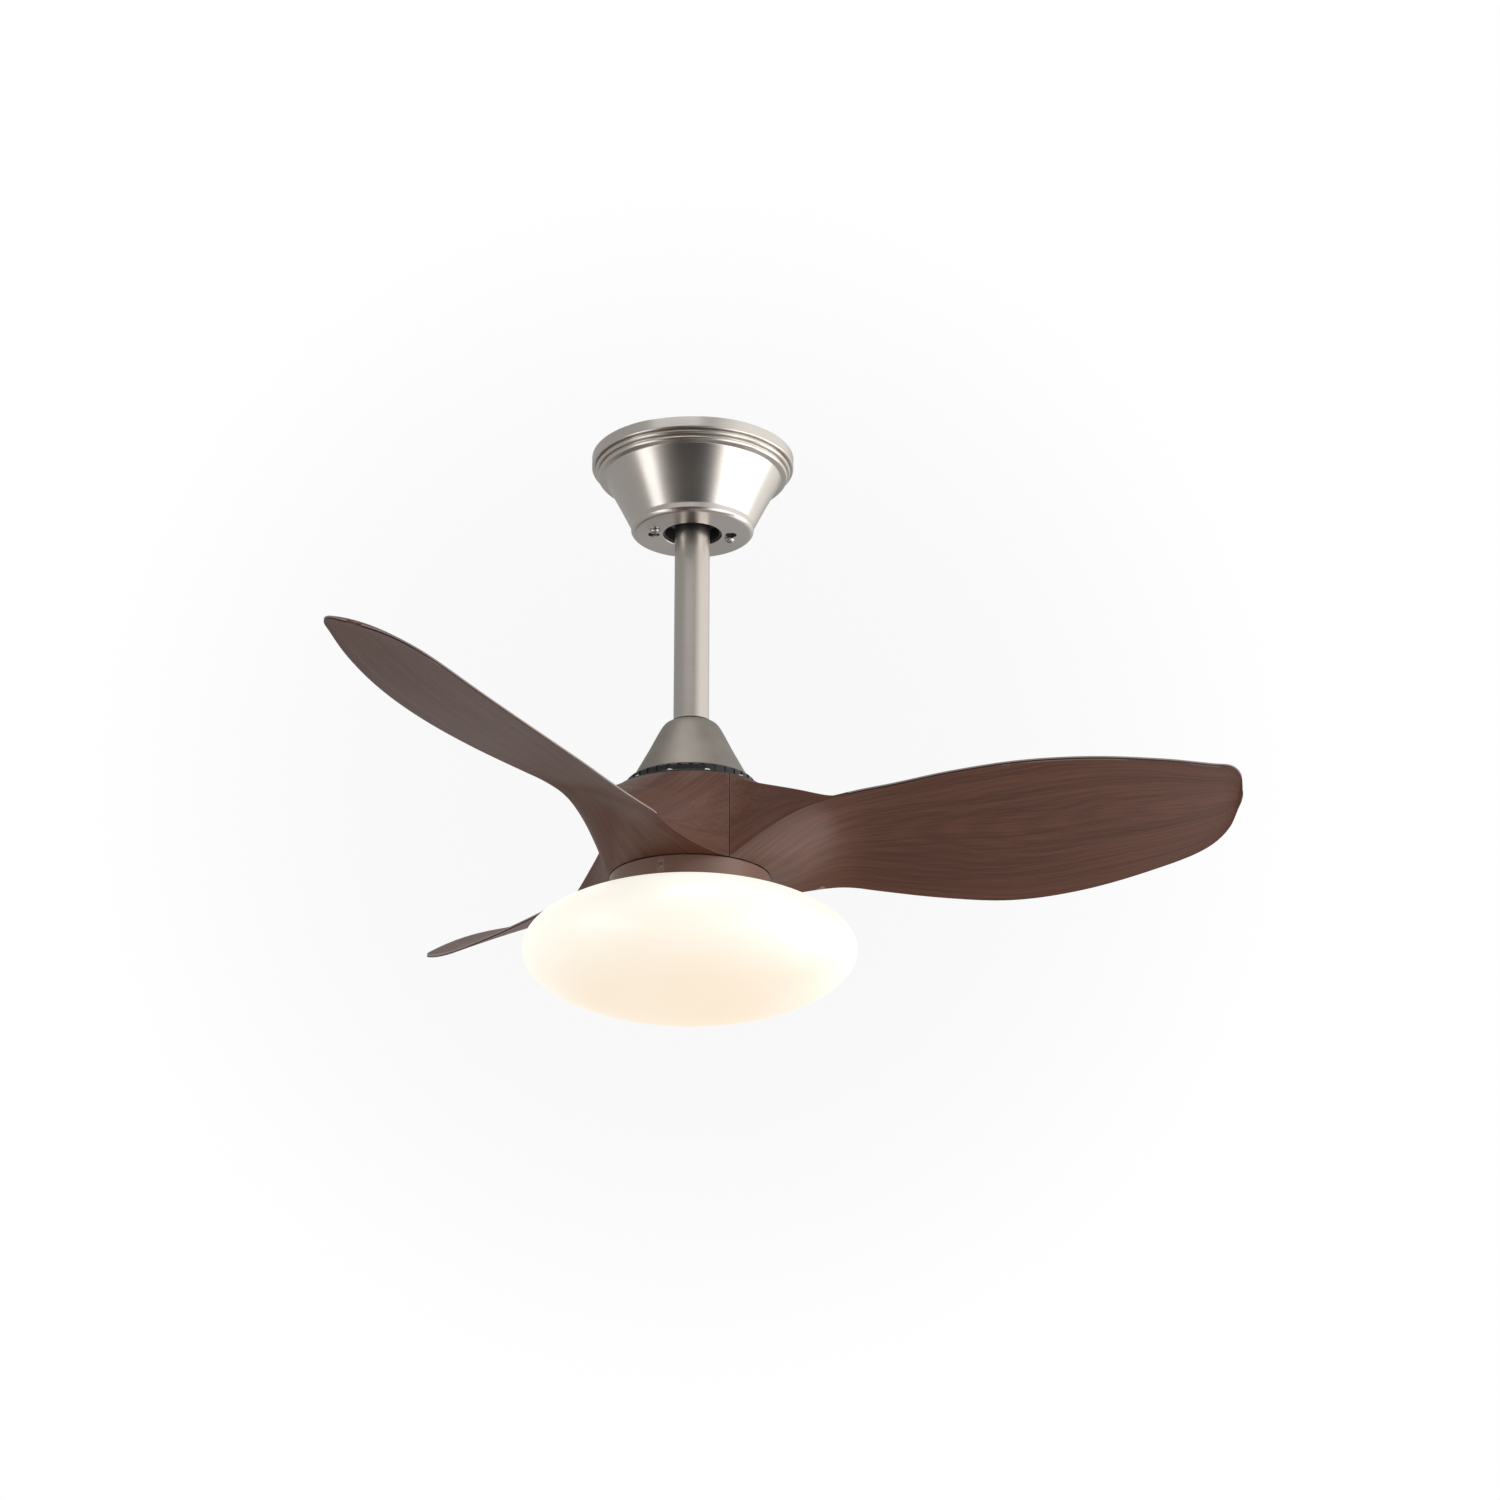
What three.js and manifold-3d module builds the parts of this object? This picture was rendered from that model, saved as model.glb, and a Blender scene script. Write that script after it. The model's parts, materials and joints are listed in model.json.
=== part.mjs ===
// Ceiling fan with a light: a three-blade fan, 816 mm across, on a short downrod.
// Millimetres, +Z up. The origin is the middle of the hanger bracket's ceiling face,
// so everything hangs below z = 0.

import * as THREE from 'three';
import { mergeVertices } from 'three/addons/utils/BufferGeometryUtils.js';
import Module from 'manifold-3d';

const wasm = await Module();
wasm.setup();

// ---------------------------------------------------------------- driving dimensions

const GAP = 0.35;                 // air kept between pieces that touch in the real fan

// Canopy and ceiling hardware
const CANOPY_RADIUS = 78;
const CANOPY_HEIGHT = 64;
const CANOPY_WALL = 1.2;
const CANOPY_PLATE_RADIUS = 43.8;
const CANOPY_HOLE_RADIUS = 22.5;
const KEYHOLE_CIRCLE = 29.5;      // distance of the keyholes from the axis
const KEYHOLE_TURN_DEG = 15.5;    // how far the canopy turns to lock on its screws
const BRACKET_RADIUS = 62;
const BRACKET_SHEET = 2;
const CEILING_SLOT_CIRCLE = 50;   // middle of the two ceiling screw slots
const GROUND_SCREW_Y = -48;
const CANOPY_SCREW_HEAD = 3.8;
const CANOPY_SCREW_HEAD_HEIGHT = 2.2;
const CLEARANCE_HOLE = 1.9;       // radius of a plain hole round a screw's shank

// Ball joint
const BALL_RADIUS = 26;
const BALL_CENTRE_Z = -33;
const LINER_WALL = 1.8;
const CUP_WALL = 2;

// Downrod and its coupling to the motor
const ROD_RADIUS = 13.35;         // three-quarter inch pipe
const ROD_BORE_RADIUS = 11.4;
const ROD_TOP_Z = -12;
const ROD_BOTTOM_Z = -256;
const PIN_RADIUS = 3;
const TOP_PIN_Z = -20;
const CLEVIS_PIN_Z = -247;
const YOKE_TOP_Z = -233;
const YOKE_BOTTOM_Z = -262;
const YOKE_RADIUS = 18.5;
const YOKE_WEB = 4.5;
const SET_SCREW_Z = -239;
const LEADS_RADIUS = 2.2;

// Coupling cover
const BELL_TOP_Z = -219;
const BELL_BOTTOM_Z = -265;
const BELL_TOP_RADIUS = 15.4;
const BELL_BOTTOM_RADIUS = 44;
const BELL_WALL = 1.4;

// Motor
const SHAFT_RADIUS = 8.5;
const SHAFT_BORE_RADIUS = 5.2;
const SHAFT_BOTTOM_Z = -351;
const BOSS_TOP_Z = -265.8;
const BOSS_RADIUS = 48.5;
const DRUM_RADIUS = 44.6;
const DRUM_WALL = 2.6;
const DRUM_BOTTOM_Z = -331;
const FLANGE_RADIUS = 57;
const FLANGE_SHEET = 2;
const BEARING_RADIUS = 17;
const BEARING_WIDTH = 8;
const RACE_WALL = 2.5;
const CORE_TOP_Z = -296;
const CORE_BOTTOM_Z = -312;
const CORE_RADIUS = 38.4;
const CORE_TEETH = 12;
const MAGNET_WALL = 2.4;
const MOTOR_LID = 2.4;            // thickness of the top cover's lid
const BOTTOM_PLATE = 2.6;
const DRUM_SCREW_CIRCLE = 41.5;
const DRUM_SCREW_DEG = 60;        // between one blade and the next

// Blades and the hub that their roots make together
const BLADE_COUNT = 3;
const ROTOR_REST_DEG = -2;        // where the blades stand at rest
const HUB_RADIUS = 60;
const HUB_BORE_RADIUS = 45.2;
const HUB_TOP_Z = -277;
const HUB_BOTTOM_Z = -340.4;
const SEAM_HALF_DEG = 0.22;       // half of the split between two roots
const BLADE_PITCH = 0.44;         // rise per millimetre across the blade
const BLADE_LEVEL_Z = -313.2;     // underside of the blade's middle line outside the hub
const BLADE_TIP_LIFT = 31;
const BLADE_EDGE = 2.4;
const BLADE_CAMBER = 3;
const CAMBER_CHORD = 90;          // chord from which the camber is full; it flattens to the tip
const BLADE_SCREW_CIRCLE = 52.3;
const BLADE_SCREW_HEAD = 2.7;
const BLADE_SCREW_DEG = [-45, -15, 15, 45];

// Light kit
const PAN_RADIUS = 59.5;
const PAN_TOP_Z = -341.2;
const PAN_BOTTOM_Z = -355;
const PAN_WALL = 2;
const PAN_SHEET = 1.6;
const PAN_SCREW_Z = -347.6;
const PAN_SCREW_DEG = -111;
const MOUNT_PLATE_Z = -345;       // underside of the plate that the pan screws to
const MOUNT_RIM_Z = -350.2;       // bottom of that plate's rim
const BOARD_RADIUS = 48;
const BOARD_TOP_Z = -351.4;
const BOARD_SHEET = 1.5;
const BOARD_SCREW_CIRCLE = 38;
const BAYONET_HOOKS = 3;
const HOOK_FIRST_DEG = 60;
const HOOK_Z = -354;              // middle of the hooks' height
const COLLAR_TOP_Z = -351;
const COLLAR_BOTTOM_Z = -361;
const COLLAR_BORE_RADIUS = 50.5;
const COLLAR_WAIST_RADIUS = 53.4;
const SHADE_OPEN_DEG = 25;        // twist that lines the collar's notches up with the hooks
const SHADE_RADIUS = 122.7;
const SHADE_HALF_HEIGHT = 46;
const SHADE_CENTRE_Z = -396;
const SHADE_WALL = 2.6;
const SHADE_MOUTH_RADIUS = 54;

// ---------------------------------------------------------------- materials

const finish = (color, roughness, metalness) =>
  new THREE.MeshStandardMaterial({ color, roughness, metalness });

const MATERIAL = {
  nickel: finish(0x9b958c, 0.32, 1),
  bell: finish(0x96918a, 0.45, 0.9),
  zinc: finish(0xb4b6b8, 0.4, 1),
  steel: finish(0x8f9296, 0.35, 1),
  blackCover: finish(0x26262a, 0.45, 0.3),
  walnut: finish(0x5e4036, 0.5, 0),
  pan: finish(0x6f5447, 0.42, 0.1),
  opal: finish(0xfff6e8, 0.25, 0),
  ivory: finish(0xe6e2d8, 0.55, 0),
  blackPlastic: finish(0x1c1c1e, 0.5, 0),
  rubber: finish(0x2a2a2a, 0.8, 0),
  copper: finish(0xb5703c, 0.4, 0.9),
  lamination: finish(0x6d6f73, 0.5, 0.8),
  magnet: finish(0x3a3b3f, 0.5, 0.6),
  board: finish(0xf1f1ee, 0.5, 0),
};

// ---------------------------------------------------------------- shape helpers

const radians = THREE.MathUtils.degToRad;
const fan = new THREE.Group();

function add(name, geometry, material, parent = fan) {
  const mesh = new THREE.Mesh(geometry, material);
  mesh.name = name;
  parent.add(mesh);
  return mesh;
}

/** Keeps positions only, merges shared corners and turns every face outward. */
function closed(geometry) {
  const bare = geometry.clone();
  bare.deleteAttribute('normal');
  bare.deleteAttribute('uv');
  const merged = mergeVertices(bare, 1e-4);
  const at = merged.getAttribute('position');
  const index = Array.from(merged.getIndex().array);
  const kept = [];
  const [a, b, c] = [new THREE.Vector3(), new THREE.Vector3(), new THREE.Vector3()];
  let volume = 0;
  for (let i = 0; i < index.length; i += 3) {
    const [p, q, r] = index.slice(i, i + 3);
    if (p === q || q === r || r === p) continue;
    kept.push(p, q, r);
    a.fromBufferAttribute(at, p);
    b.fromBufferAttribute(at, q);
    c.fromBufferAttribute(at, r);
    volume += a.dot(b.cross(c));
  }
  merged.setIndex(volume < 0 ? kept.reverse() : kept);
  return merged;
}

function solid(geometry) {
  const body = closed(geometry);
  return new wasm.Manifold(new wasm.Mesh({
    numProp: 3,
    vertProperties: new Float32Array(body.getAttribute('position').array),
    triVerts: new Uint32Array(body.getIndex().array),
  }));
}

function surfaceOf(manifold) {
  const { vertProperties, triVerts } = manifold.getMesh();
  const geometry = new THREE.BufferGeometry();
  geometry.setAttribute('position', new THREE.BufferAttribute(vertProperties, 3));
  geometry.setIndex(new THREE.BufferAttribute(triVerts, 1));
  return geometry;
}

/** One piece: the first shapes joined, then the second shapes cut away. */
function carve(joined, cuts = []) {
  let body = solid(joined[0]);
  for (const shape of joined.slice(1)) body = body.add(solid(shape));
  for (const shape of cuts) body = body.subtract(solid(shape));
  return surfaceOf(body);
}

/** Turns a closed outline of [radius, z] points about the Z axis. */
function turned(outline, segments = 32) {
  const points = [...outline, outline[0]].map(([r, z]) => new THREE.Vector2(r, z));
  return closed(new THREE.LatheGeometry(points, segments).rotateX(Math.PI / 2));
}

const ring = (inner, outer, bottom, top, segments = 32) =>
  turned([[inner, bottom], [outer, bottom], [outer, top], [inner, top]], segments);

const block = (width, depth, height, x, y, z) =>
  new THREE.BoxGeometry(width, depth, height).translate(x, y, z);

/** A round bar from bottom to top along Z. */
const bar = (radius, bottom, top, segments = 12) =>
  new THREE.CylinderGeometry(radius, radius, top - bottom, segments)
    .rotateX(Math.PI / 2).translate(0, 0, (top + bottom) / 2);

/** A round bar along X, from start to end. */
const crossBar = (radius, start, end, z, segments = 10) =>
  bar(radius, start, end, segments).rotateY(Math.PI / 2).translate(0, 0, z);

const polar = (radius, degrees) =>
  [radius * Math.cos(radians(degrees)), radius * Math.sin(radians(degrees))];

/** Pan-head screw pointing up: head below its seat at z = 0, shank above it. */
function panScrew(headRadius, headHeight, shankRadius, shankLength, sides = 8) {
  const tip = shankLength;
  return turned([
    [0, -headHeight], [headRadius * 0.6, -headHeight], [headRadius, -headHeight * 0.45],
    [headRadius, 0], [shankRadius, 0], [shankRadius, tip], [0, tip],
  ], sides);
}

/** Cuts a cross recess into a pan-head screw's face. */
function crossRecess(screw, headRadius, headHeight) {
  return carve([screw], [0, 90].map((turn) =>
    block(headRadius * 1.2, headRadius * 0.3, headHeight * 1.1, 0, 0, -headHeight)
      .rotateZ(radians(turn))));
}

/** Points of an arc in the [radius, z] plane, both ends included. */
function arc(centreR, centreZ, radius, fromDeg, toDeg, steps) {
  return Array.from({ length: steps + 1 }, (_, i) => {
    const angle = radians(fromDeg + (toDeg - fromDeg) * i / steps);
    return [centreR + radius * Math.cos(angle), centreZ + radius * Math.sin(angle)];
  });
}

/** An open line of [radius, z] points thickened inward into a closed outline. */
function shellOutline(outer, wall) {
  const inner = outer.map((point, i) => {
    const before = outer[Math.max(i - 1, 0)];
    const after = outer[Math.min(i + 1, outer.length - 1)];
    const along = new THREE.Vector2(after[0] - before[0], after[1] - before[1]).normalize();
    return [Math.max(point[0] - along.y * wall, 0), point[1] + along.x * wall];
  });
  return [...outer, ...inner.reverse()];
}

// ---------------------------------------------------------------- ceiling hardware

/** Ceiling plate, two drop straps, and the cup that the ball seat sits in. */
function hangerBracket() {
  const cupInner = BALL_RADIUS + LINER_WALL + 2 * GAP;
  const cupOuter = cupInner + CUP_WALL;
  const floor = -CANOPY_HEIGHT + CANOPY_WALL + GAP;
  const cup = turned([
    ...arc(0, BALL_CENTRE_Z, cupInner, -4, -46, 4),
    [21, floor + 2], [21, floor], [25, floor], [25, floor + 2],
    ...arc(0, BALL_CENTRE_Z, cupOuter, -40, -4, 4),
  ], 24);
  const plate = bar(BRACKET_RADIUS, -BRACKET_SHEET, 0, 28);
  const strapHeight = -BALL_CENTRE_Z + 4;
  const straps = [-1, 1].map((side) => block(
    CUP_WALL, 20, strapHeight, side * (cupOuter - 0.6), 0, -strapHeight / 2 - 1));
  const ears = [0, 180].map((turn) =>
    block(13, 9, 2, 29, 0, floor + 1).rotateZ(radians(turn + KEYHOLE_TURN_DEG + 4)));
  const screwHoles = [0, 180].map((turn) => {
    const [x, y] = polar(KEYHOLE_CIRCLE, turn + KEYHOLE_TURN_DEG);
    return bar(CLEARANCE_HOLE, floor - 1, floor + 4, 8).translate(x, y, 0);
  });
  const ceilingSlots = [45, 225].map((turn) =>
    block(14, 6, 10, CEILING_SLOT_CIRCLE, 0, 0).rotateZ(radians(turn)));
  const groundHole = bar(CLEARANCE_HOLE, -5, 5, 8).translate(0, GROUND_SCREW_Y, 0);
  return carve([plate, ...straps, cup, ...ears], [...ceilingSlots, ...screwHoles, groundHole]);
}

/** Canopy profile: rolled rim, two steps, a flared bell, a rounded corner, a flat plate. */
function canopyProfile() {
  const R = CANOPY_RADIUS;
  const floor = -CANOPY_HEIGHT;
  const corner = 4.5;
  const flare = new THREE.CatmullRomCurve3([
    [CANOPY_PLATE_RADIUS + 3.2, floor + corner + 2], [R - 24.6, -45.5], [R - 19.8, -36],
    [R - 15, -27], [R - 10, -17.8],
  ].map(([r, z]) => new THREE.Vector3(r, 0, z))).getPoints(5).map((p) => [p.x, p.z]);
  return [
    [CANOPY_HOLE_RADIUS, floor],
    ...arc(CANOPY_PLATE_RADIUS - 1, floor + corner, corner, -90, -25, 3),
    ...flare,
    [R - 5, -17], [R - 4.6, -14.2], [R - 2.4, -13.6], [R - 2, -10.6], [R, -9.9], [R, -0.6],
  ];
}

function canopyShell() {
  const shell = turned(shellOutline(canopyProfile(), CANOPY_WALL), 30);
  const cuts = [0, 180].flatMap((turn) => {
    const track = [0.45, 0.72, 1].map((part) => {
      const [x, y] = polar(KEYHOLE_CIRCLE, turn + KEYHOLE_TURN_DEG * part);
      return bar(2.4, -CANOPY_HEIGHT - 1, -CANOPY_HEIGHT + 3, 8).translate(x, y, 0);
    });
    const [x, y] = polar(KEYHOLE_CIRCLE, turn);
    return [bar(4.4, -CANOPY_HEIGHT - 1, -CANOPY_HEIGHT + 3, 12).translate(x, y, 0), ...track];
  });
  return carve([shell], cuts);
}

function buildCeilingMount() {
  add('hanger_bracket', hangerBracket(), MATERIAL.blackCover);
  add('canopy_shell', canopyShell(), MATERIAL.nickel);
  [0, 180].forEach((turn, i) => {
    const [x, y] = polar(KEYHOLE_CIRCLE, turn + KEYHOLE_TURN_DEG);
    const screw = panScrew(CANOPY_SCREW_HEAD, CANOPY_SCREW_HEAD_HEIGHT, 1.6, 5, 12);
    const recessed = crossRecess(screw, CANOPY_SCREW_HEAD, CANOPY_SCREW_HEAD_HEIGHT);
    add(`canopy_screw_${i + 1}`, recessed, MATERIAL.zinc)
      .position.set(x, y, -CANOPY_HEIGHT - GAP);
  });
  add('receiver_box', block(52, 21, 15, 0, 0, 0), MATERIAL.blackPlastic)
    .position.set(0, 48.5, -BRACKET_SHEET - GAP - 7.5);
  const terminals = [-9, 0, 9].map((y) => bar(2.4, -20, 0, 12).translate(0, y, 0));
  add('terminal_block', carve([block(13, 30, 10, 0, 0, 0)], terminals), MATERIAL.ivory)
    .position.set(-48, 0, -BRACKET_SHEET - GAP - 5);
  add('ground_screw', panScrew(3.4, 2, 1.5, 1.6), MATERIAL.copper)
    .position.set(0, GROUND_SCREW_Y, -BRACKET_SHEET - GAP);
}

// ---------------------------------------------------------------- ball joint and rod

function ballSeatLiner() {
  const inner = BALL_RADIUS + GAP;
  return turned([
    ...arc(0, BALL_CENTRE_Z, inner, -6, -45, 4),
    ...arc(0, BALL_CENTRE_Z, inner + LINER_WALL, -45, -6, 4),
  ], 24);
}

function hangerBall() {
  const bore = ROD_RADIUS + GAP;
  const ball = turned([
    [bore, BALL_CENTRE_Z - 22], ...arc(0, BALL_CENTRE_Z, BALL_RADIUS, -57, 57, 8),
    [bore, BALL_CENTRE_Z + 22],
  ], 24);
  const pinTunnel = crossBar(PIN_RADIUS + GAP, -30, 30, TOP_PIN_Z);
  const setScrewTunnel = bar(2.5 + GAP, -40, 0).rotateX(Math.PI / 2)
    .translate(0, 0, TOP_PIN_Z - 8);
  return carve([ball], [pinTunnel, setScrewTunnel]);
}

function downrod() {
  const tube = ring(ROD_BORE_RADIUS, ROD_RADIUS, ROD_BOTTOM_Z, ROD_TOP_Z, 24);
  return carve([tube], [
    crossBar(PIN_RADIUS + GAP, -30, 30, TOP_PIN_Z),
    crossBar(PIN_RADIUS + GAP, -30, 30, CLEVIS_PIN_Z),
  ]);
}

/** Supply and lamp leads in one sleeve, beside the pins in the rod, then down the shaft. */
function motorLeads() {
  const route = new THREE.CatmullRomCurve3([
    [0, 6, -9], [0, 6.2, -24], [0, 6.2, -60], [1.6, 5.8, -120], [-1.6, 5.8, -180],
    [0, 6.2, -225], [0, 6.2, -247], [0, 5, -252], [0, 2.4, -258.5], [0, 0.6, -266], [0, 0, -280],
    [0, 0, -349],
  ].map((p) => new THREE.Vector3(...p)));
  const section = new THREE.Shape().absarc(0, 0, LEADS_RADIUS, 0, 2 * Math.PI);
  return closed(new THREE.ExtrudeGeometry(section, {
    extrudePath: route, steps: 32, curveSegments: 3, bevelEnabled: false,
  }));
}

/** Cast collar: a socket for the rod, closed below by a web with the shaft's hole. */
function yokeCollar() {
  const socket = ROD_RADIUS + GAP;
  const floor = YOKE_BOTTOM_Z + YOKE_WEB;
  const body = turned([
    [SHAFT_RADIUS + GAP, YOKE_BOTTOM_Z], [24, YOKE_BOTTOM_Z], [24, YOKE_BOTTOM_Z + 3],
    [YOKE_RADIUS, YOKE_BOTTOM_Z + 6], [YOKE_RADIUS, YOKE_TOP_Z], [socket, YOKE_TOP_Z],
    [socket, floor], [SHAFT_RADIUS + GAP, floor],
  ], 24);
  const pinTunnel = crossBar(PIN_RADIUS + GAP, -30, 30, CLEVIS_PIN_Z);
  const screwTunnel = bar(2.5 + GAP, -40, 40).rotateX(Math.PI / 2).translate(0, 0, SET_SCREW_Z);
  return carve([body], [pinTunnel, screwTunnel]);
}

/** Headless set screw along +Y with a hexagon socket in its outer end. */
function setScrew(start, end, radius = 2.5, socketRadius = 1.3) {
  const shank = bar(radius, start, end, 8);
  const socket = new THREE.CylinderGeometry(socketRadius, socketRadius, 3, 6)
    .rotateX(Math.PI / 2).translate(0, 0, end);
  return carve([shank], [socket]).rotateX(-Math.PI / 2);
}

/** Hairpin clip: one straight leg through the clevis pin and one leg bowed over it. */
function hairpinClip() {
  const route = new THREE.CatmullRomCurve3([
    [0, -8, 0], [0, 3, 0], [0, 7, 0], [0, 8.6, 2], [0, 6.6, 4], [0, 3, 4.4],
    [0, -2, 4.6], [0, -5.5, 3.6], [0, -8.5, 4.4],
  ].map((p) => new THREE.Vector3(...p)));
  const section = new THREE.Shape().absarc(0, 0, 0.7, 0, 2 * Math.PI);
  return closed(new THREE.ExtrudeGeometry(section, {
    extrudePath: route, steps: 18, curveSegments: 2, bevelEnabled: false,
  }));
}

/** Coupling cover: small lip around the rod, round shoulder, straight flare. */
function bellProfile() {
  return [
    [BELL_BOTTOM_RADIUS, BELL_BOTTOM_Z], [BELL_BOTTOM_RADIUS - 0.4, BELL_BOTTOM_Z + 1.4],
    [31.4, BELL_TOP_Z - 22.5], [24.4, BELL_TOP_Z - 8.6], [21.6, BELL_TOP_Z - 3.8],
    [19.2, BELL_TOP_Z - 1.2], [BELL_TOP_RADIUS, BELL_TOP_Z],
  ];
}

function buildHanger() {
  add('ball_seat_liner', ballSeatLiner(), MATERIAL.blackPlastic);
  add('hanger_ball', hangerBall(), MATERIAL.blackPlastic);
  add('ball_cross_pin', crossBar(PIN_RADIUS, -17, 17, TOP_PIN_Z), MATERIAL.steel);
  add('ball_set_screw', setScrew(ROD_RADIUS + GAP, 21), MATERIAL.steel)
    .position.set(0, 0, TOP_PIN_Z - 8);
  add('downrod', downrod(), MATERIAL.nickel);
  add('motor_leads', motorLeads(), MATERIAL.rubber);
  add('yoke_collar', yokeCollar(), MATERIAL.zinc);
  const pinHead = bar(4.6, 0, 1.8).rotateY(Math.PI / 2);
  const pinStart = -YOKE_RADIUS - 0.4;
  add('clevis_pin', carve(
    [crossBar(PIN_RADIUS, pinStart - 0.5, 24, CLEVIS_PIN_Z),
      pinHead.translate(pinStart - 1.8, 0, CLEVIS_PIN_Z)],
    [bar(1, -10, 10, 8).rotateX(Math.PI / 2).translate(21, 0, CLEVIS_PIN_Z)],
  ), MATERIAL.steel);
  add('clevis_clip', hairpinClip(), MATERIAL.steel).position.set(21, 0, CLEVIS_PIN_Z);
  [0, 180].forEach((turn, i) => {
    const screw = add(`yoke_set_screw_${i + 1}`, setScrew(ROD_RADIUS + GAP, 20.5), MATERIAL.steel);
    screw.position.set(0, 0, SET_SCREW_Z);
    screw.rotation.z = radians(turn);
  });
  add('coupling_cover', turned(shellOutline(bellProfile(), BELL_WALL), 28), MATERIAL.bell);
}

// ---------------------------------------------------------------- motor

/** Stator lamination stack: a hub and T-shaped teeth. */
function statorCore() {
  const bore = SHAFT_RADIUS + GAP;
  const height = CORE_TOP_Z - CORE_BOTTOM_Z;
  const middle = (CORE_TOP_Z + CORE_BOTTOM_Z) / 2;
  const hub = ring(bore, 20, CORE_BOTTOM_Z, CORE_TOP_Z, 24);
  const rim = ring(35.4, CORE_RADIUS, CORE_BOTTOM_Z, CORE_TOP_Z, 36);
  const pitch = 360 / CORE_TEETH;
  const teeth = [];
  const slots = [];
  for (let i = 0; i < CORE_TEETH; i += 1) {
    teeth.push(block(18, 4, height, 28, 0, middle).rotateZ(radians(i * pitch)));
    slots.push(block(8, 2.4, height + 2, 37, 0, middle).rotateZ(radians((i + 0.5) * pitch)));
  }
  return carve([hub, rim, ...teeth], slots);
}

/** Winding overhang: the rounded copper crown that stands on one end of the core. */
function windingCrown(faceZ, direction) {
  const height = 7;
  const wall = [
    [23, 0], [33, 0], [34, 2], [34, height - 2.5], [31, height], [25, height], [22, height - 2.5],
    [22, 2],
  ];
  return turned(wall.map(([r, z]) => [r, faceZ + direction * (GAP + z)]), 20);
}

function bearingRace(inner, outer, bottomZ) {
  const chamfer = 0.6;
  const topZ = bottomZ + BEARING_WIDTH;
  return turned([
    [inner, bottomZ + chamfer], [inner + chamfer, bottomZ], [outer, bottomZ], [outer, topZ],
    [inner + chamfer, topZ], [inner, topZ - chamfer],
  ], 20);
}

/** Black top cover: boss, flange that lies on the hub, drum wall and bearing collar. */
function motorTopCover() {
  const flangeTop = HUB_TOP_Z + GAP + FLANGE_SHEET;
  const drumInner = DRUM_RADIUS - DRUM_WALL;
  const collar = BEARING_RADIUS + GAP;
  const pocketBottom = BOSS_TOP_Z - MOTOR_LID - BEARING_WIDTH - 2;
  const shell = turned([
    [14, BOSS_TOP_Z], [BOSS_RADIUS - 1.5, BOSS_TOP_Z], [BOSS_RADIUS, BOSS_TOP_Z - 1.5],
    [BOSS_RADIUS, flangeTop], [FLANGE_RADIUS, flangeTop], [FLANGE_RADIUS, HUB_TOP_Z + GAP],
    [DRUM_RADIUS, HUB_TOP_Z + GAP], [DRUM_RADIUS, DRUM_BOTTOM_Z],
    [38.6, DRUM_BOTTOM_Z], [38.6, DRUM_BOTTOM_Z + 6], [drumInner, DRUM_BOTTOM_Z + 6],
    [drumInner, BOSS_TOP_Z - MOTOR_LID], [collar + 2.4, BOSS_TOP_Z - MOTOR_LID],
    [collar + 2.4, pocketBottom], [collar, pocketBottom],
    [collar, BOSS_TOP_Z - MOTOR_LID], [14, BOSS_TOP_Z - MOTOR_LID],
  ], 28);
  const blades = Array.from({ length: BLADE_COUNT }, (_, i) => i * 360 / BLADE_COUNT);
  const bladeHoles = blades.flatMap((blade) => BLADE_SCREW_DEG.map((turn) => {
    const [x, y] = polar(BLADE_SCREW_CIRCLE, blade + turn);
    return bar(CLEARANCE_HOLE, HUB_TOP_Z - 1, HUB_TOP_Z + 5, 6).translate(x, y, 0);
  }));
  const coverHoles = blades.map((blade) => {
    const [x, y] = polar(DRUM_SCREW_CIRCLE, blade + DRUM_SCREW_DEG);
    return bar(1.6, DRUM_BOTTOM_Z - 1, DRUM_BOTTOM_Z + 5, 6).translate(x, y, 0);
  });
  return carve([shell], [...bladeHoles, ...coverHoles]);
}

function motorBottomCover() {
  const top = DRUM_BOTTOM_Z - GAP;
  const collar = BEARING_RADIUS + GAP;
  const plate = turned([
    [11.5, top - BOTTOM_PLATE], [DRUM_RADIUS, top - BOTTOM_PLATE], [DRUM_RADIUS, top], [collar + 2.4, top],
    [collar + 2.4, top + BEARING_WIDTH + 2], [collar, top + BEARING_WIDTH + 2], [collar, top],
    [11.5, top],
  ], 24);
  const holes = [0, 120, 240].map((blade) => {
    const [x, y] = polar(DRUM_SCREW_CIRCLE, blade + DRUM_SCREW_DEG);
    return bar(1.6, top - 5, top + 2, 6).translate(x, y, 0);
  });
  return carve([plate], holes);
}

// ---------------------------------------------------------------- blades

const ease = (x) => Math.sin(Math.PI / 2 * THREE.MathUtils.clamp(x, 0, 1));
const fade = (x) => 1 - THREE.MathUtils.smoothstep(x, 0, 1);

const ROOT_HALF = radians(180 / BLADE_COUNT - SEAM_HALF_DEG);
const seamPoint = (side) => [
  HUB_RADIUS * Math.cos(ROOT_HALF), side * HUB_RADIUS * Math.sin(ROOT_HALF)];

// Plan outline, [along the blade, across it], from the hub's seams to the tip. The leading
// edge is the high one. `across` is measured from the blade's middle line.
const LEADING_EDGE = [
  seamPoint(-1), [53, -49], [78, -47], [105, -46.7], [140, -54], [190, -66.5], [240, -72.5],
  [292, -69], [345, -56], [383, -41.5], [398, -35], [405.5, -26], [408.4, -13],
];
const TRAILING_EDGE = [
  seamPoint(1), [54, 47.5], [79, 44], [106, 43.5], [141, 49.5], [191, 58.5], [241, 65],
  [292, 62.5], [345, 53], [380, 44], [393, 36.5], [402, 25], [406.8, 8],
];

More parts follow.
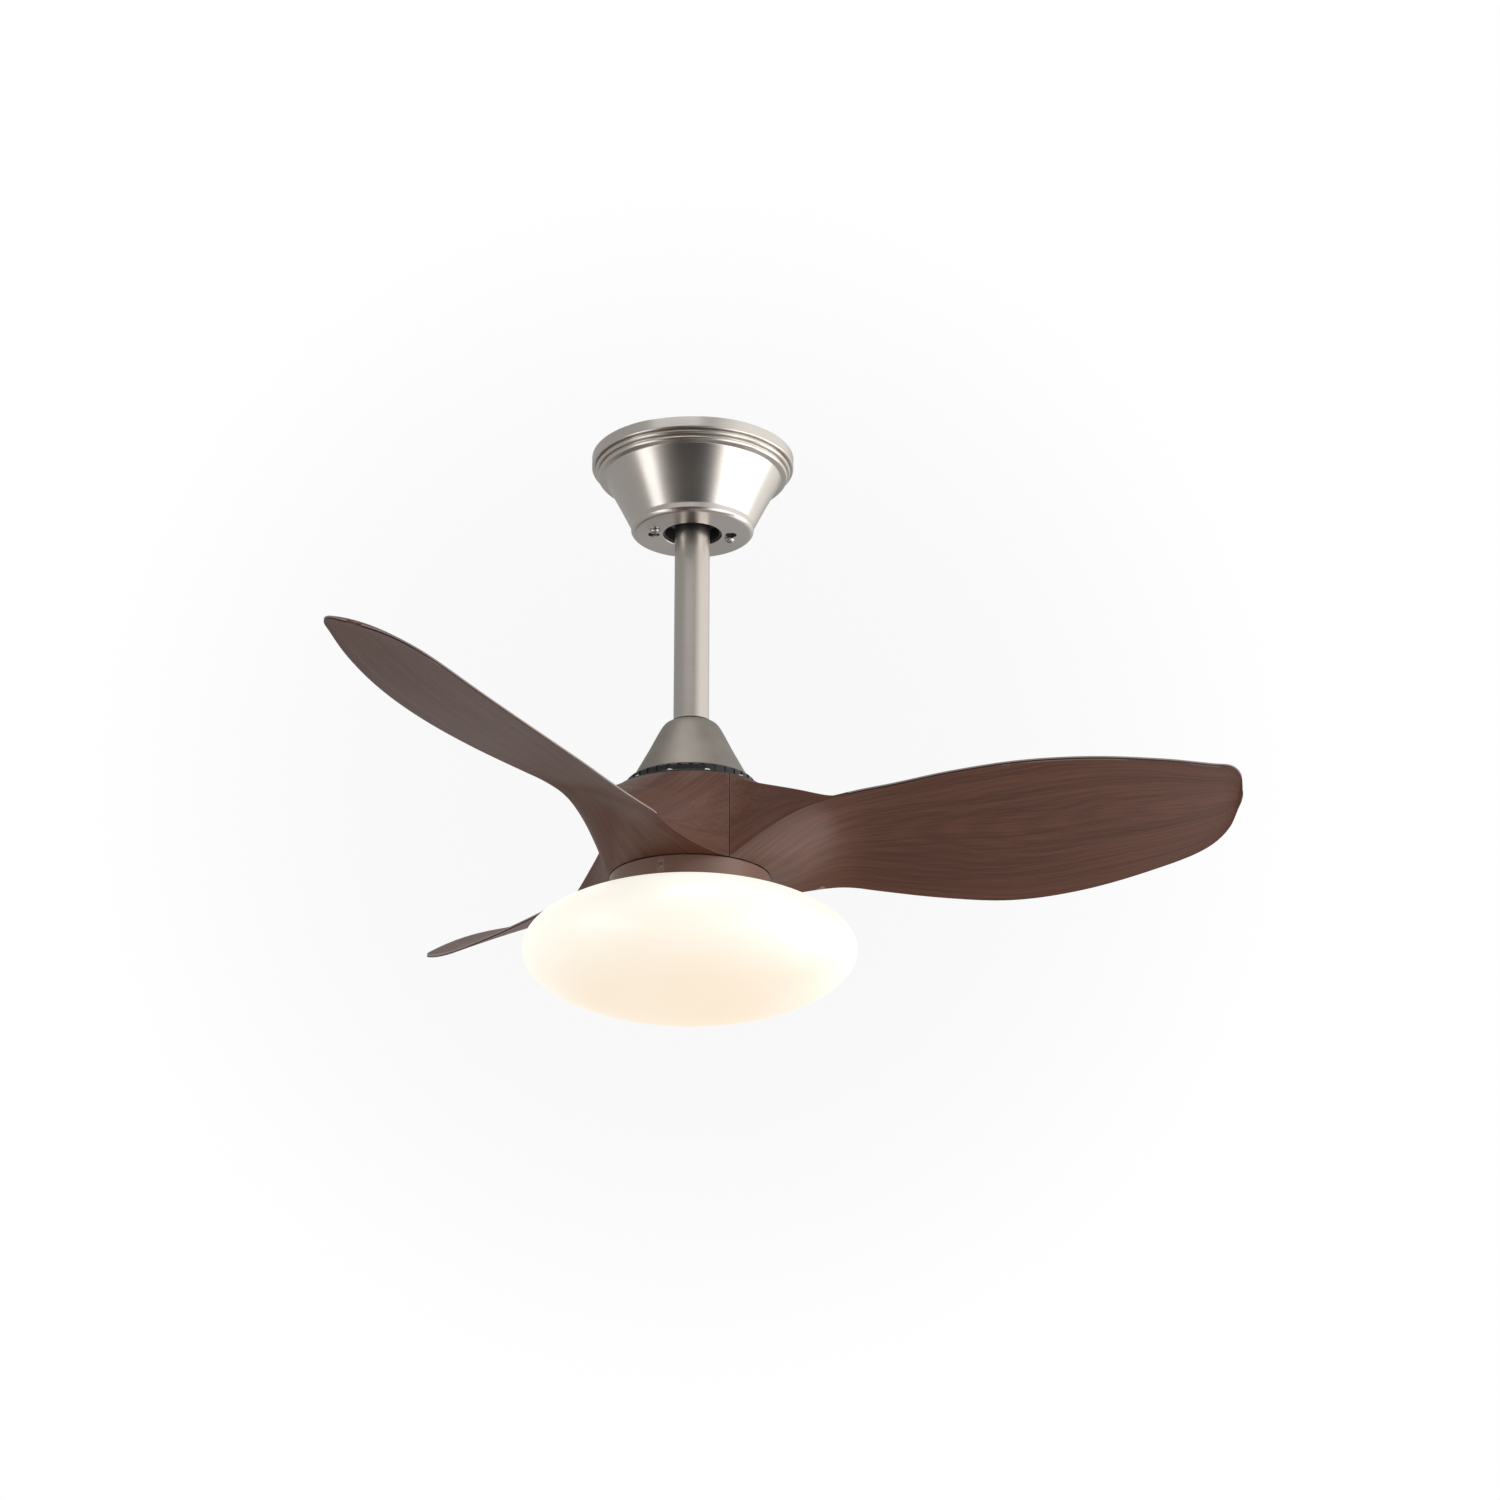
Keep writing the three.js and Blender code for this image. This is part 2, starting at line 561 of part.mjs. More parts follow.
// How far the hub's wall runs out along each edge, leading then trailing, and how it falls.
const WALL_FADE = [{ reach: 76, power: 1.35 }, { reach: 76, power: 1 }];

const edgeCurve = (points) =>
  new THREE.CatmullRomCurve3(points.map(([u, t]) => new THREE.Vector3(u, t, 0)));
const leadingCurve = edgeCurve(LEADING_EDGE);
const trailingCurve = edgeCurve(TRAILING_EDGE);

/** Height of the blade's middle line at a distance from the axis. */
function middleLine(along) {
  const root = (BLADE_LEVEL_Z - HUB_BOTTOM_Z) * (1 - ease((along - 30) / 100));
  const lift = THREE.MathUtils.clamp((along - 130) / 276, 0, 1) ** 2.2;
  return BLADE_LEVEL_Z - root + BLADE_TIP_LIFT * lift;
}

const pitchAt = (along) => BLADE_PITCH * ease((along - 30) / 75);

/** Height of the blade's side wall: the hub's height at the seam, the edge's beyond it. */
function wallHeight(along, { reach, power }) {
  const hub = HUB_TOP_Z - HUB_BOTTOM_Z - BLADE_EDGE;
  const left = THREE.MathUtils.clamp(1 - (along - 30) / reach, 0, 1);
  return BLADE_EDGE + hub * left ** power;
}

/**
 * A point of the blade. station: 0 at the hub's wall to 1 at the tip, or -1 to 0 inside the
 * hub; side: -1 leading to 1 trailing; level: 0 underside to 1 top.
 */
function bladePoint(station, side, level) {
  const s = Math.max(station, 0);
  const edges = [leadingCurve, trailingCurve].map((curve) => curve.getPoint(s));
  const heights = edges.map((edge, i) => wallHeight(edge.x, WALL_FADE[i]));
  const wall = edges.map((edge, i) => {
    const full = HUB_TOP_Z - HUB_BOTTOM_Z;
    const lean = 0.5 * heights[i] * (1 - heights[i] / full) * level * fade((edge.x - 30) / 90);
    return edge.clone().multiplyScalar(1 - lean / edge.length());
  });
  const mix = (side + 1) / 2;
  const along = THREE.MathUtils.lerp(wall[0].x, wall[1].x, mix);
  const across = THREE.MathUtils.lerp(wall[0].y, wall[1].y, mix);
  const bulge = fade((along - 30) / 110);
  const arcAlong = HUB_RADIUS * (Math.cos(ROOT_HALF * side) - Math.cos(ROOT_HALF));
  const arcAcross = HUB_RADIUS * (Math.sin(ROOT_HALF * side) - Math.sin(ROOT_HALF) * side);
  const thickness = THREE.MathUtils.lerp(heights[0], heights[1], mix);
  const chord = edges[0].distanceTo(edges[1]);
  const crown = BLADE_CAMBER * (1 - side * side) * ease((along - 60) / 80)
    * ease(chord / CAMBER_CHORD) ** 2;
  const edgeMean = THREE.MathUtils.lerp(edges[0].x, edges[1].x, mix);
  const edgeAcross = THREE.MathUtils.lerp(edges[0].y, edges[1].y, mix);
  const under = middleLine(edgeMean) - pitchAt(edgeMean) * edgeAcross;
  const point = new THREE.Vector3(
    along + arcAlong * bulge,
    across + arcAcross * bulge,
    under + level * thickness + crown * (0.6 + 0.7 * level),
  );
  if (station < 0) {
    const inward = 1 + station * (1 - HUB_BORE_RADIUS / HUB_RADIUS);
    point.x *= inward;
    point.y *= inward;
  }
  return point;
}

/** Station along the blade for an even grid parameter, closer together at root and tip. */
const stationAt = (x) => x - 0.09 * Math.sin(2 * Math.PI * x);

function bladeShell() {
  const spanSteps = 25;
  const inside = 1 / spanSteps;
  const box = new THREE.BoxGeometry(1, 1, 1, spanSteps, 8, 1);
  const at = box.getAttribute('position');
  for (let i = 0; i < at.count; i += 1) {
    const x = at.getX(i) + 0.5;
    const station = x < inside / 2 ? -1 : stationAt((x - inside) / (1 - inside));
    const { x: u, y: t, z } = bladePoint(station, at.getY(i) * 2, at.getZ(i) + 0.5);
    at.setXYZ(i, u, t, z);
  }
  return box;
}

function blade() {
  const holes = BLADE_SCREW_DEG.map((turn) => {
    const [x, y] = polar(BLADE_SCREW_CIRCLE, turn);
    return bar(1.8, HUB_TOP_Z - 12, HUB_TOP_Z + 5, 6).translate(x, y, 0);
  });
  return carve([bladeShell()], holes);
}

function buildRotor() {
  const rotor = new THREE.Group();
  rotor.rotation.z = radians(ROTOR_REST_DEG);
  fan.add(rotor);
  add('motor_top_cover', motorTopCover(), MATERIAL.blackCover, rotor);
  add('motor_bottom_cover', motorBottomCover(), MATERIAL.blackCover, rotor);
  const magnetOuter = DRUM_RADIUS - DRUM_WALL - GAP;
  const magnets = ring(magnetOuter - MAGNET_WALL, magnetOuter, CORE_BOTTOM_Z - 4, CORE_TOP_Z + 4, 28);
  add('magnet_ring', magnets, MATERIAL.magnet, rotor);
  const raceInner = BEARING_RADIUS - RACE_WALL;
  const upperZ = BOSS_TOP_Z - MOTOR_LID - GAP - BEARING_WIDTH;
  const lowerZ = DRUM_BOTTOM_Z;
  const shaftFit = SHAFT_RADIUS + GAP;
  for (const [end, z] of [['upper', upperZ], ['lower', lowerZ]]) {
    const outer = bearingRace(raceInner, BEARING_RADIUS, z);
    add(`${end}_bearing_outer_race`, outer, MATERIAL.steel, rotor);
    add(`${end}_bearing_inner_race`, bearingRace(shaftFit, shaftFit + RACE_WALL, z), MATERIAL.steel);
  }
  for (let i = 0; i < BLADE_COUNT; i += 1) {
    const arm = new THREE.Group();
    arm.rotation.z = 2 * Math.PI * i / BLADE_COUNT;
    rotor.add(arm);
    add(`blade_${i + 1}`, blade(), MATERIAL.walnut, arm);
    BLADE_SCREW_DEG.forEach((turn, j) => {
      const [x, y] = polar(BLADE_SCREW_CIRCLE, turn);
      const shape = panScrew(BLADE_SCREW_HEAD, 1.9, 1.3, 10);
      const screw = add(`blade_${i + 1}_screw_${j + 1}`, shape, MATERIAL.steel, arm);
      screw.position.set(x, y, HUB_TOP_Z + 2 * GAP + FLANGE_SHEET);
      screw.rotation.x = Math.PI;
    });
    const [x, y] = polar(DRUM_SCREW_CIRCLE, DRUM_SCREW_DEG);
    add(`drum_screw_${i + 1}`, panScrew(2.6, 1.8, 1.1, 6), MATERIAL.steel, arm)
      .position.set(x, y, DRUM_BOTTOM_Z - 2 * GAP - BOTTOM_PLATE);
  }
}

function buildStator() {
  const shaftTop = YOKE_BOTTOM_Z + YOKE_WEB - 1;
  add('motor_shaft', ring(SHAFT_BORE_RADIUS, SHAFT_RADIUS, SHAFT_BOTTOM_Z, shaftTop, 28), MATERIAL.steel);
  add('stator_core', statorCore(), MATERIAL.lamination);
  add('upper_winding', windingCrown(CORE_TOP_Z, 1), MATERIAL.copper);
  add('lower_winding', windingCrown(CORE_BOTTOM_Z, -1), MATERIAL.copper);
}

// ---------------------------------------------------------------- light kit

/** Plate that the shaft's nut clamps: a disc with a rim that takes the pan's side screws. */
function lightMountPlate() {
  const outer = PAN_RADIUS - PAN_WALL - GAP;
  const top = PAN_TOP_Z - PAN_SHEET - GAP;
  const plate = turned([
    [SHAFT_RADIUS + GAP, MOUNT_PLATE_Z], [outer - 2.2, MOUNT_PLATE_Z], [outer - 2.2, MOUNT_RIM_Z],
    [outer, MOUNT_RIM_Z], [outer, top], [SHAFT_RADIUS + GAP, top],
  ], 28);
  return carve([plate], [...panScrewHoles(), ...boardScrewSpots().map(([x, y]) =>
    bar(CLEARANCE_HOLE, MOUNT_PLATE_Z - 1, top + 1, 6).translate(x, y, 0))]);
}

const panScrewTurns = () =>
  Array.from({ length: BAYONET_HOOKS }, (_, i) => PAN_SCREW_DEG + 360 * i / BAYONET_HOOKS);

const panScrewHoles = () => panScrewTurns().map((turn) =>
  crossBar(2, 50, 65, PAN_SCREW_Z, 8).rotateZ(radians(turn)));

const boardScrewSpots = () => [90, 270].map((turn) => polar(BOARD_SCREW_CIRCLE, turn));

/** Brown pan: a shallow cup over the mount plate, with hooks for the shade's collar. */
function lightPan() {
  const inner = PAN_RADIUS - PAN_WALL;
  const cup = turned([
    [SHAFT_RADIUS + GAP, PAN_TOP_Z], [PAN_RADIUS - 0.8, PAN_TOP_Z], [PAN_RADIUS, PAN_TOP_Z - 0.8],
    [PAN_RADIUS, PAN_BOTTOM_Z], [inner, PAN_BOTTOM_Z], [inner, PAN_TOP_Z - PAN_SHEET],
    [SHAFT_RADIUS + GAP, PAN_TOP_Z - PAN_SHEET],
  ], 28);
  const hooks = Array.from({ length: BAYONET_HOOKS }, (_, i) =>
    block(2.6, 11, 1, PAN_RADIUS - 2.8, 0, HOOK_Z)
      .rotateZ(radians(HOOK_FIRST_DEG + 360 * i / BAYONET_HOOKS)));
  return carve([cup, ...hooks], panScrewHoles());
}

/** Spool-shaped collar: grips the shade's mouth and hangs on the pan's hooks. */
function shadeCollar() {
  const lip = 56.9;
  const foot = 56;
  const spool = turned([
    [COLLAR_BORE_RADIUS, COLLAR_BOTTOM_Z], [foot, COLLAR_BOTTOM_Z], [foot, COLLAR_BOTTOM_Z + 2.6],
    [COLLAR_WAIST_RADIUS, COLLAR_BOTTOM_Z + 2.6], [COLLAR_WAIST_RADIUS, COLLAR_TOP_Z - 2.1],
    [lip, COLLAR_TOP_Z - 2.1], [lip, COLLAR_TOP_Z], [COLLAR_BORE_RADIUS, COLLAR_TOP_Z],
  ], 28);
  const notches = Array.from({ length: BAYONET_HOOKS }, (_, i) =>
    block(3, 14, 3, lip, 0, COLLAR_TOP_Z - 1)
      .rotateZ(radians(HOOK_FIRST_DEG - SHADE_OPEN_DEG + 360 * i / BAYONET_HOOKS)));
  return carve([spool], notches);
}

function lampBoard() {
  const disc = ring(16, BOARD_RADIUS, BOARD_TOP_Z - BOARD_SHEET, BOARD_TOP_Z, 24);
  return carve([disc], boardScrewSpots().map(([x, y]) =>
    bar(CLEARANCE_HOLE, BOARD_TOP_Z - 5, BOARD_TOP_Z + 5, 6).translate(x, y, 0)));
}

/** Driver case, standing off the board on two feet. */
function lampDriver() {
  const top = BOARD_TOP_Z - BOARD_SHEET - GAP;
  const feet = [-1, 1].map((side) => block(4, 24, 3, side * 21, 0, top - 1.5));
  return carve([block(46, 28, 13, 0, 0, top - 1 - 6.5), ...feet]);
}

/** Opal shade: a flattened ball, open at the top where its collar grips it. */
function shadeShell() {
  const mouth = Math.acos(SHADE_MOUTH_RADIUS / SHADE_RADIUS);
  const steps = 10;
  const line = (radius, half, from, to) => Array.from({ length: steps + 1 }, (_, i) => {
    const angle = from + (to - from) * i / steps;
    return [radius * Math.cos(angle), SHADE_CENTRE_Z + half * Math.sin(angle)];
  });
  const outer = line(SHADE_RADIUS, SHADE_HALF_HEIGHT, -Math.PI / 2, mouth);
  const innerRadius = SHADE_RADIUS - SHADE_WALL;
  const innerMouth = Math.acos(SHADE_MOUTH_RADIUS / innerRadius);
  const inner = line(innerRadius, SHADE_HALF_HEIGHT - SHADE_WALL, innerMouth, -Math.PI / 2);
  outer[0][0] = 0;
  inner[steps][0] = 0;
  return turned([...outer, ...inner], 32);
}

function buildLightKit() {
  add('light_mount_plate', lightMountPlate(), MATERIAL.steel);
  add('shaft_nut', carve(
    [new THREE.CylinderGeometry(14, 14, 4.8, 6).rotateX(Math.PI / 2)],
    [bar(SHAFT_RADIUS + GAP, -5, 5, 24)],
  ), MATERIAL.steel).position.set(0, 0, MOUNT_PLATE_Z - GAP - 2.4);
  add('light_pan', lightPan(), MATERIAL.pan);
  panScrewTurns().forEach((turn, i) => {
    const screw = add(`pan_screw_${i + 1}`, setScrew(54, 59, 1.6, 0.9), MATERIAL.steel);
    screw.position.set(0, 0, PAN_SCREW_Z);
    screw.rotation.z = radians(turn - 90);
  });
  add('lamp_board', lampBoard(), MATERIAL.board);
  boardScrewSpots().forEach(([x, y], i) => {
    add(`board_screw_${i + 1}`, panScrew(2.8, 1.8, 1.5, 8.5), MATERIAL.steel)
      .position.set(x, y, BOARD_TOP_Z - BOARD_SHEET - GAP);
  });
  add('lamp_driver', lampDriver(), MATERIAL.ivory);
  add('shade_collar', shadeCollar(), MATERIAL.ivory);
  add('shade', shadeShell(), MATERIAL.opal);
}

buildCeilingMount();
buildHanger();
buildStator();
buildRotor();
buildLightKit();

export default fan;
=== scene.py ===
"""Ceiling fan with a light: its visible pieces, their finishes and a plain studio.

Lengths below are in millimetres from the ceiling face, +Z up, and are turned into metres
where a mesh is made. Lamps, the camera and the finishes' patterns work in metres.
"""

import json
import math

import bmesh
import bpy
import numpy as np
from mathutils import Matrix, Vector


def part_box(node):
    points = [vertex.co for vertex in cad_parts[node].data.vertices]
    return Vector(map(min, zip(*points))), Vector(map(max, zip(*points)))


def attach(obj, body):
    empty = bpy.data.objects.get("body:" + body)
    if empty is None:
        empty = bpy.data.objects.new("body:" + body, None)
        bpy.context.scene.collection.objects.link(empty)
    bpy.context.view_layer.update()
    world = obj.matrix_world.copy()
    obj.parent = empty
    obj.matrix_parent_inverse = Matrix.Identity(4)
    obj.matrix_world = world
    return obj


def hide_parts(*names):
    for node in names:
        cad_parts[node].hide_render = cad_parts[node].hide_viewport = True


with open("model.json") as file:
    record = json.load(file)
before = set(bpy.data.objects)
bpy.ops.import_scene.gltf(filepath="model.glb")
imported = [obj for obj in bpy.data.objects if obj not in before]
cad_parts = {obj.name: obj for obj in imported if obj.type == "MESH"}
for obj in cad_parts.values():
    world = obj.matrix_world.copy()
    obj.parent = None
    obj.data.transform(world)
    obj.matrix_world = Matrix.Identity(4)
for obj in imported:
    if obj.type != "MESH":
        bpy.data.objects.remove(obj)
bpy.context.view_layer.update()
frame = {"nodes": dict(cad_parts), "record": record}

MM = 0.001


def node_box(node):
    """Lowest and highest corner of a CAD node, in millimetres."""
    low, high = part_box(node)
    return low / MM, high / MM


# ---------------------------------------------------------------- sizes

SMALL_GAP = 0.35
SHARP_DEG = 38  # edges bent more than this stay crisp
SCREW_SHARP_DEG = 30
CASE_SHARP_DEG = 32
BLADE_SHARP_DEG = 50
ROUNDING_STEPS = 4

# Canopy
CANOPY_RADIUS = node_box("canopy_shell")[1].x
CANOPY_HEIGHT = -node_box("canopy_shell")[0].z
CANOPY_WALL = 1.2
CANOPY_CORNER = 4.5
CANOPY_PLATE_RADIUS = 43.8
CANOPY_HOLE_RADIUS = 22.5
KEYHOLE_CIRCLE = 29.5
KEYHOLE_TURN = math.radians(15.5)
KEYHOLE_WIDE = 4.4
KEYHOLE_NARROW = 2.4
CANOPY_SCREW_HEAD = 3.8
CANOPY_SCREW_HEIGHT = 2.2
CANOPY_SCREW_SHANK = (1.7, 5)  # radius and length

# Hanger
BALL_RADIUS = 26
BALL_HALF_HEIGHT = 22
BALL_CENTRE_Z = -33
ROD_RADIUS = 13.35
ROD_BORE_RADIUS = 11.4
ROD_TOP_Z = node_box("downrod")[1].z
ROD_BOTTOM_Z = node_box("downrod")[0].z
PIN_HOLE_RADIUS = 3.35
PIN_HEIGHTS = (-20, -247)
COVER_TOP_Z = node_box("coupling_cover")[1].z
COVER_BOTTOM_Z = node_box("coupling_cover")[0].z
COVER_TOP_RADIUS = 15.4
COVER_BOTTOM_RADIUS = 44
COVER_WALL = 1.4
COVER_RING_HEIGHT = 1.3

# Motor
BOSS_TOP_Z = node_box("motor_top_cover")[1].z
BOSS_RADIUS = 48.5
DRUM_RADIUS = 44.6
DRUM_INNER_RADIUS = 42
DRUM_BOTTOM_Z = node_box("motor_top_cover")[0].z
FLANGE_RADIUS = 57
FLANGE_SHEET = 2
MOTOR_LID = 2.4
MOTOR_LID_HOLE = 14
DRUM_LIP_RADIUS = 38.6
DRUM_LIP_HEIGHT = 6
BEARING_POCKET = 17.35
BEARING_POCKET_WALL = 2.4
BEARING_POCKET_DEPTH = 10
RIB_COUNT = 36
RIB_GROOVE_DEPTH = 0.8
RIB_GROOVE_WIDTH = 3

# Hub and blades
BLADE_COUNT = 3
ROTOR_REST = math.radians(-2)
HUB_RADIUS = 60
HUB_BORE_RADIUS = 45.2
HUB_TOP_Z = -277
HUB_BOTTOM_Z = -340.4
SEAM_HALF_DEG = 0.22
BLADE_PITCH = 0.44
BLADE_LEVEL_Z = -313.2
BLADE_TIP_LIFT = 31
BLADE_EDGE = 2.4
BLADE_CAMBER = 3
CAMBER_CHORD = 90  # chord from which the camber is full; it flattens to the tip
BLADE_SCREW_CIRCLE = 52.3
BLADE_SCREW_HEAD = 2.7
BLADE_SCREW_HEIGHT = 1.9
BLADE_SCREW_SHANK = (1.3, 10)
BLADE_SCREW_DEG = (-45, -15, 15, 45)

# Light kit
PAN_RADIUS = 59.5
PAN_TOP_Z = node_box("light_pan")[1].z
PAN_BOTTOM_Z = node_box("light_pan")[0].z
PAN_INNER_RADIUS = 57.5
PAN_SHEET = 1.6
PAN_LAND = 5  # width of the low raised land round the top edge
PAN_LAND_HEIGHT = 0.4
PAN_SCREW_Z = -347.6
PAN_SCREW_COUNT = 3
PAN_SCREW_TURN = math.radians(-111)
PAN_SCREW_RADIUS = 1.6
PAN_SCREW_HOLE = 2
PAN_SCREW_SOCKET = 0.9
PAN_SCREW_SOCKET_DEPTH = 1.5
PAN_SCREW_START = 54
PAN_SCREW_END = 59
SHAFT_HOLE_RADIUS = 8.85
HOOK_COUNT = 3
HOOK_TURN = math.radians(60)
HOOK_SIZE = (2.6, 11, 1)
HOOK_CENTRE = (56.7, 0, -354)
SHADE_RADIUS = node_box("shade")[1].x
SHADE_HALF_HEIGHT = 46
SHADE_CENTRE_Z = node_box("shade")[0].z + SHADE_HALF_HEIGHT
SHADE_WALL = 2.6
SHADE_MOUTH_RADIUS = 54

# Studio: the floor in millimetres, the camera and what the lamps aim at in metres
CAMERA_PLACE = (0, -2.3522, -1.1011)
CAMERA_YAW_DEG = 1.074
CAMERA_PITCH_DEG = 20.124
CAMERA_LENS = 80.45
FLOOR_HALF = 60000
FLOOR_Z = -3600
STUDIO_CENTRE = (0, 0, -0.25)


# ---------------------------------------------------------------- mesh helpers


def catmull(points, t):
    """Points at the shares t (0 to 1) of a centripetal Catmull-Rom curve through points."""
    p = np.asarray(points, float)
    ends = [2 * p[0] - p[1], 2 * p[-1] - p[-2]]
    p = np.vstack([ends[0], p, ends[1]])
    place = np.clip(np.asarray(t, float), 0, 1) * (len(p) - 3)
    i = np.minimum(place.astype(int), len(p) - 4)
    w = (place - i)[:, None]
    p0, p1, p2, p3 = (p[i + k] for k in range(4))
    d0, d1, d2 = (
        np.linalg.norm(b - a, axis=1)[:, None] ** 0.5 for a, b in ((p0, p1), (p1, p2), (p2, p3))
    )
    start = ((p1 - p0) / d0 - (p2 - p0) / (d0 + d1) + (p2 - p1) / d1) * d1
    end = ((p2 - p1) / d1 - (p3 - p1) / (d1 + d2) + (p3 - p2) / d2) * d1
    c2 = 3 * (p2 - p1) - 2 * start - end
    c3 = 2 * (p1 - p2) + start + end
    return p1 + start * w + c2 * w**2 + c3 * w**3


def arc(centre_r, centre_z, radius, start_deg, end_deg, steps):
    """Points of an arc in the [radius, z] plane, both ends included."""
    angles = np.radians(np.linspace(start_deg, end_deg, steps + 1))
    return [(centre_r + radius * math.cos(a), centre_z + radius * math.sin(a)) for a in angles]


def rounded(outline, radius):
    """Closed outline with each corner sharper than 20 degrees rounded to a radius."""
    p = np.asarray(outline, float)
    done = []
    for i, corner in enumerate(p):
        back, ahead = p[i - 1] - corner, p[(i + 1) % len(p)] - corner
        back_length, ahead_length = np.linalg.norm(back), np.linalg.norm(ahead)
        turn = np.dot(back, ahead) / (back_length * ahead_length)
        if turn < -math.cos(math.radians(20)) or corner[0] < 1e-6:
            done.append(tuple(corner))
            continue
        reach = min(radius, 0.45 * back_length, 0.45 * ahead_length)
        first = corner + back / back_length * reach
        last = corner + ahead / ahead_length * reach
        for t in np.linspace(0, 1, ROUNDING_STEPS + 1):
            done.append(tuple((1 - t) ** 2 * first + 2 * t * (1 - t) * corner + t**2 * last))
    return done


def shell(outer, wall):
    """An open line of [radius, z] points thickened inward into a closed outline."""
    p = np.asarray(outer, float)
    along = np.gradient(p, axis=0)
    along /= np.linalg.norm(along, axis=1)[:, None]
    inner = p + np.stack([-along[:, 1], along[:, 0]], axis=1) * wall
    inner[:, 0] = np.maximum(inner[:, 0], 0)
    return [tuple(q) for q in p] + [tuple(q) for q in inner[::-1]]


def make_object(name, vertices, faces, sharp_deg=SHARP_DEG, weld=1e-7):
    """A smooth-shaded mesh object from vertices in millimetres, its faces turned outward."""
    mesh = bpy.data.meshes.new(name)
    mesh.from_pydata([tuple(v) for v in np.asarray(vertices, float) * MM], [], faces)
    finish_mesh(mesh, sharp_deg, weld)
    made = bpy.data.objects.new(name, mesh)
    bpy.context.scene.collection.objects.link(made)
    return made


def finish_mesh(mesh, sharp_deg=SHARP_DEG, weld=1e-7):
    """Welds doubled vertices, turns the faces outward and shades them smooth."""
    work = bmesh.new()
    work.from_mesh(mesh)
    if weld:
        bmesh.ops.remove_doubles(work, verts=work.verts, dist=weld)
    bmesh.ops.recalc_face_normals(work, faces=work.faces)
    work.to_mesh(mesh)
    work.free()
    mesh.shade_smooth()
    mesh.set_sharp_from_angle(angle=math.radians(sharp_deg))


def lathe(name, outline, segments):
    """Turns a closed outline of [radius, z] points about the Z axis."""
    count = len(outline)
    angles = np.linspace(0, 2 * math.pi, segments, endpoint=False)
    r, z = np.asarray(outline, float).T
    x = np.outer(np.cos(angles), r)
    y = np.outer(np.sin(angles), r)
    vertices = np.stack([x, y, np.broadcast_to(z, x.shape)], axis=2).reshape(-1, 3)
    faces = []
    for i in range(segments):
        here, there = i * count, (i + 1) % segments * count
        for j in range(count):
            k = (j + 1) % count
            on_axis = (r[j] < 1e-6, r[k] < 1e-6)
            if all(on_axis):
                continue
            corners = [here + j, there + j, there + k, here + k]
            if on_axis[0]:
                corners = [here + j, there + k, here + k]
            if on_axis[1]:
                corners = [here + j, there + j, here + k]
            faces.append(corners)
    return make_object(name, vertices, faces)


def block(name, size, centre, turn):
    """A box for cutting or joining, turned about the Z axis."""
    corners = np.array([[x, y, z] for x in (-1, 1) for y in (-1, 1) for z in (-1, 1)], float)
    corners = corners * np.asarray(size) / 2 + np.asarray(centre)
    spin = np.array(Matrix.Rotation(turn, 3, "Z"))
    faces = [(0, 1, 3, 2), (4, 6, 7, 5), (0, 4, 5, 1), (2, 3, 7, 6), (0, 2, 6, 4), (1, 5, 7, 3)]
    return make_object(name, corners @ spin.T, faces)


def rod_cutter(radius, start, end, segments=32):
    """A bar along Z for cutting with: round, or six-sided for a key socket."""
    return lathe("cutter", [(0, start), (radius, start), (radius, end), (0, end)], segments)


def place(made, x=0.0, y=0.0, z=0.0, turn=None):
    """Moves a new object's own mesh, in millimetres, after an optional rotation matrix."""
    if turn is not None:
        made.data.transform(turn.to_4x4())
    made.data.transform(Matrix.Translation((x * MM, y * MM, z * MM)))
    return made


def combine(made, tools, operation, sharp_deg=SHARP_DEG):
    """Joins the tools to a new object or cuts them out of it, and removes them."""
    for tool in tools:
        step = made.modifiers.new(operation.lower(), "BOOLEAN")
        step.operation = operation
        step.solver = "EXACT"
        step.object = tool
    apply_modifiers(made)
    for tool in tools:
        bpy.data.objects.remove(tool)
    finish_mesh(made.data, sharp_deg)
    return made


def cut(made, cutters, sharp_deg=SHARP_DEG):
    return combine(made, cutters, "DIFFERENCE", sharp_deg)


def apply_modifiers(made):
    graph = bpy.context.evaluated_depsgraph_get()
    mesh = bpy.data.meshes.new_from_object(made.evaluated_get(graph))
    made.modifiers.clear()
    made.data = mesh


def weight_normals(made):
    """Large faces keep their flat look beside small rounded edges."""
    step = made.modifiers.new("weighted normals", "WEIGHTED_NORMAL")
    step.keep_sharp = True


def piece(made, body, slot, *nodes):
    """Gives a finished piece its body and the finish for its slot, and hides the CAD nodes it stands for."""
    weight_normals(made)
    made.data.materials.clear()
    made.data.materials.append(FINISH[slot])
    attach(made, body)
    if nodes:
        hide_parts(*nodes)


def polar(radius, angle):
    return radius * math.cos(angle), radius * math.sin(angle)


def turns(start, count):
    """Angles evenly spaced over a full turn, in radians."""
    return [start + 2 * math.pi * i / count for i in range(count)]


ALONG_X = Matrix.Rotation(math.pi / 2, 3, "Y")  # lays a bar made along Z along X


# ---------------------------------------------------------------- material helpers


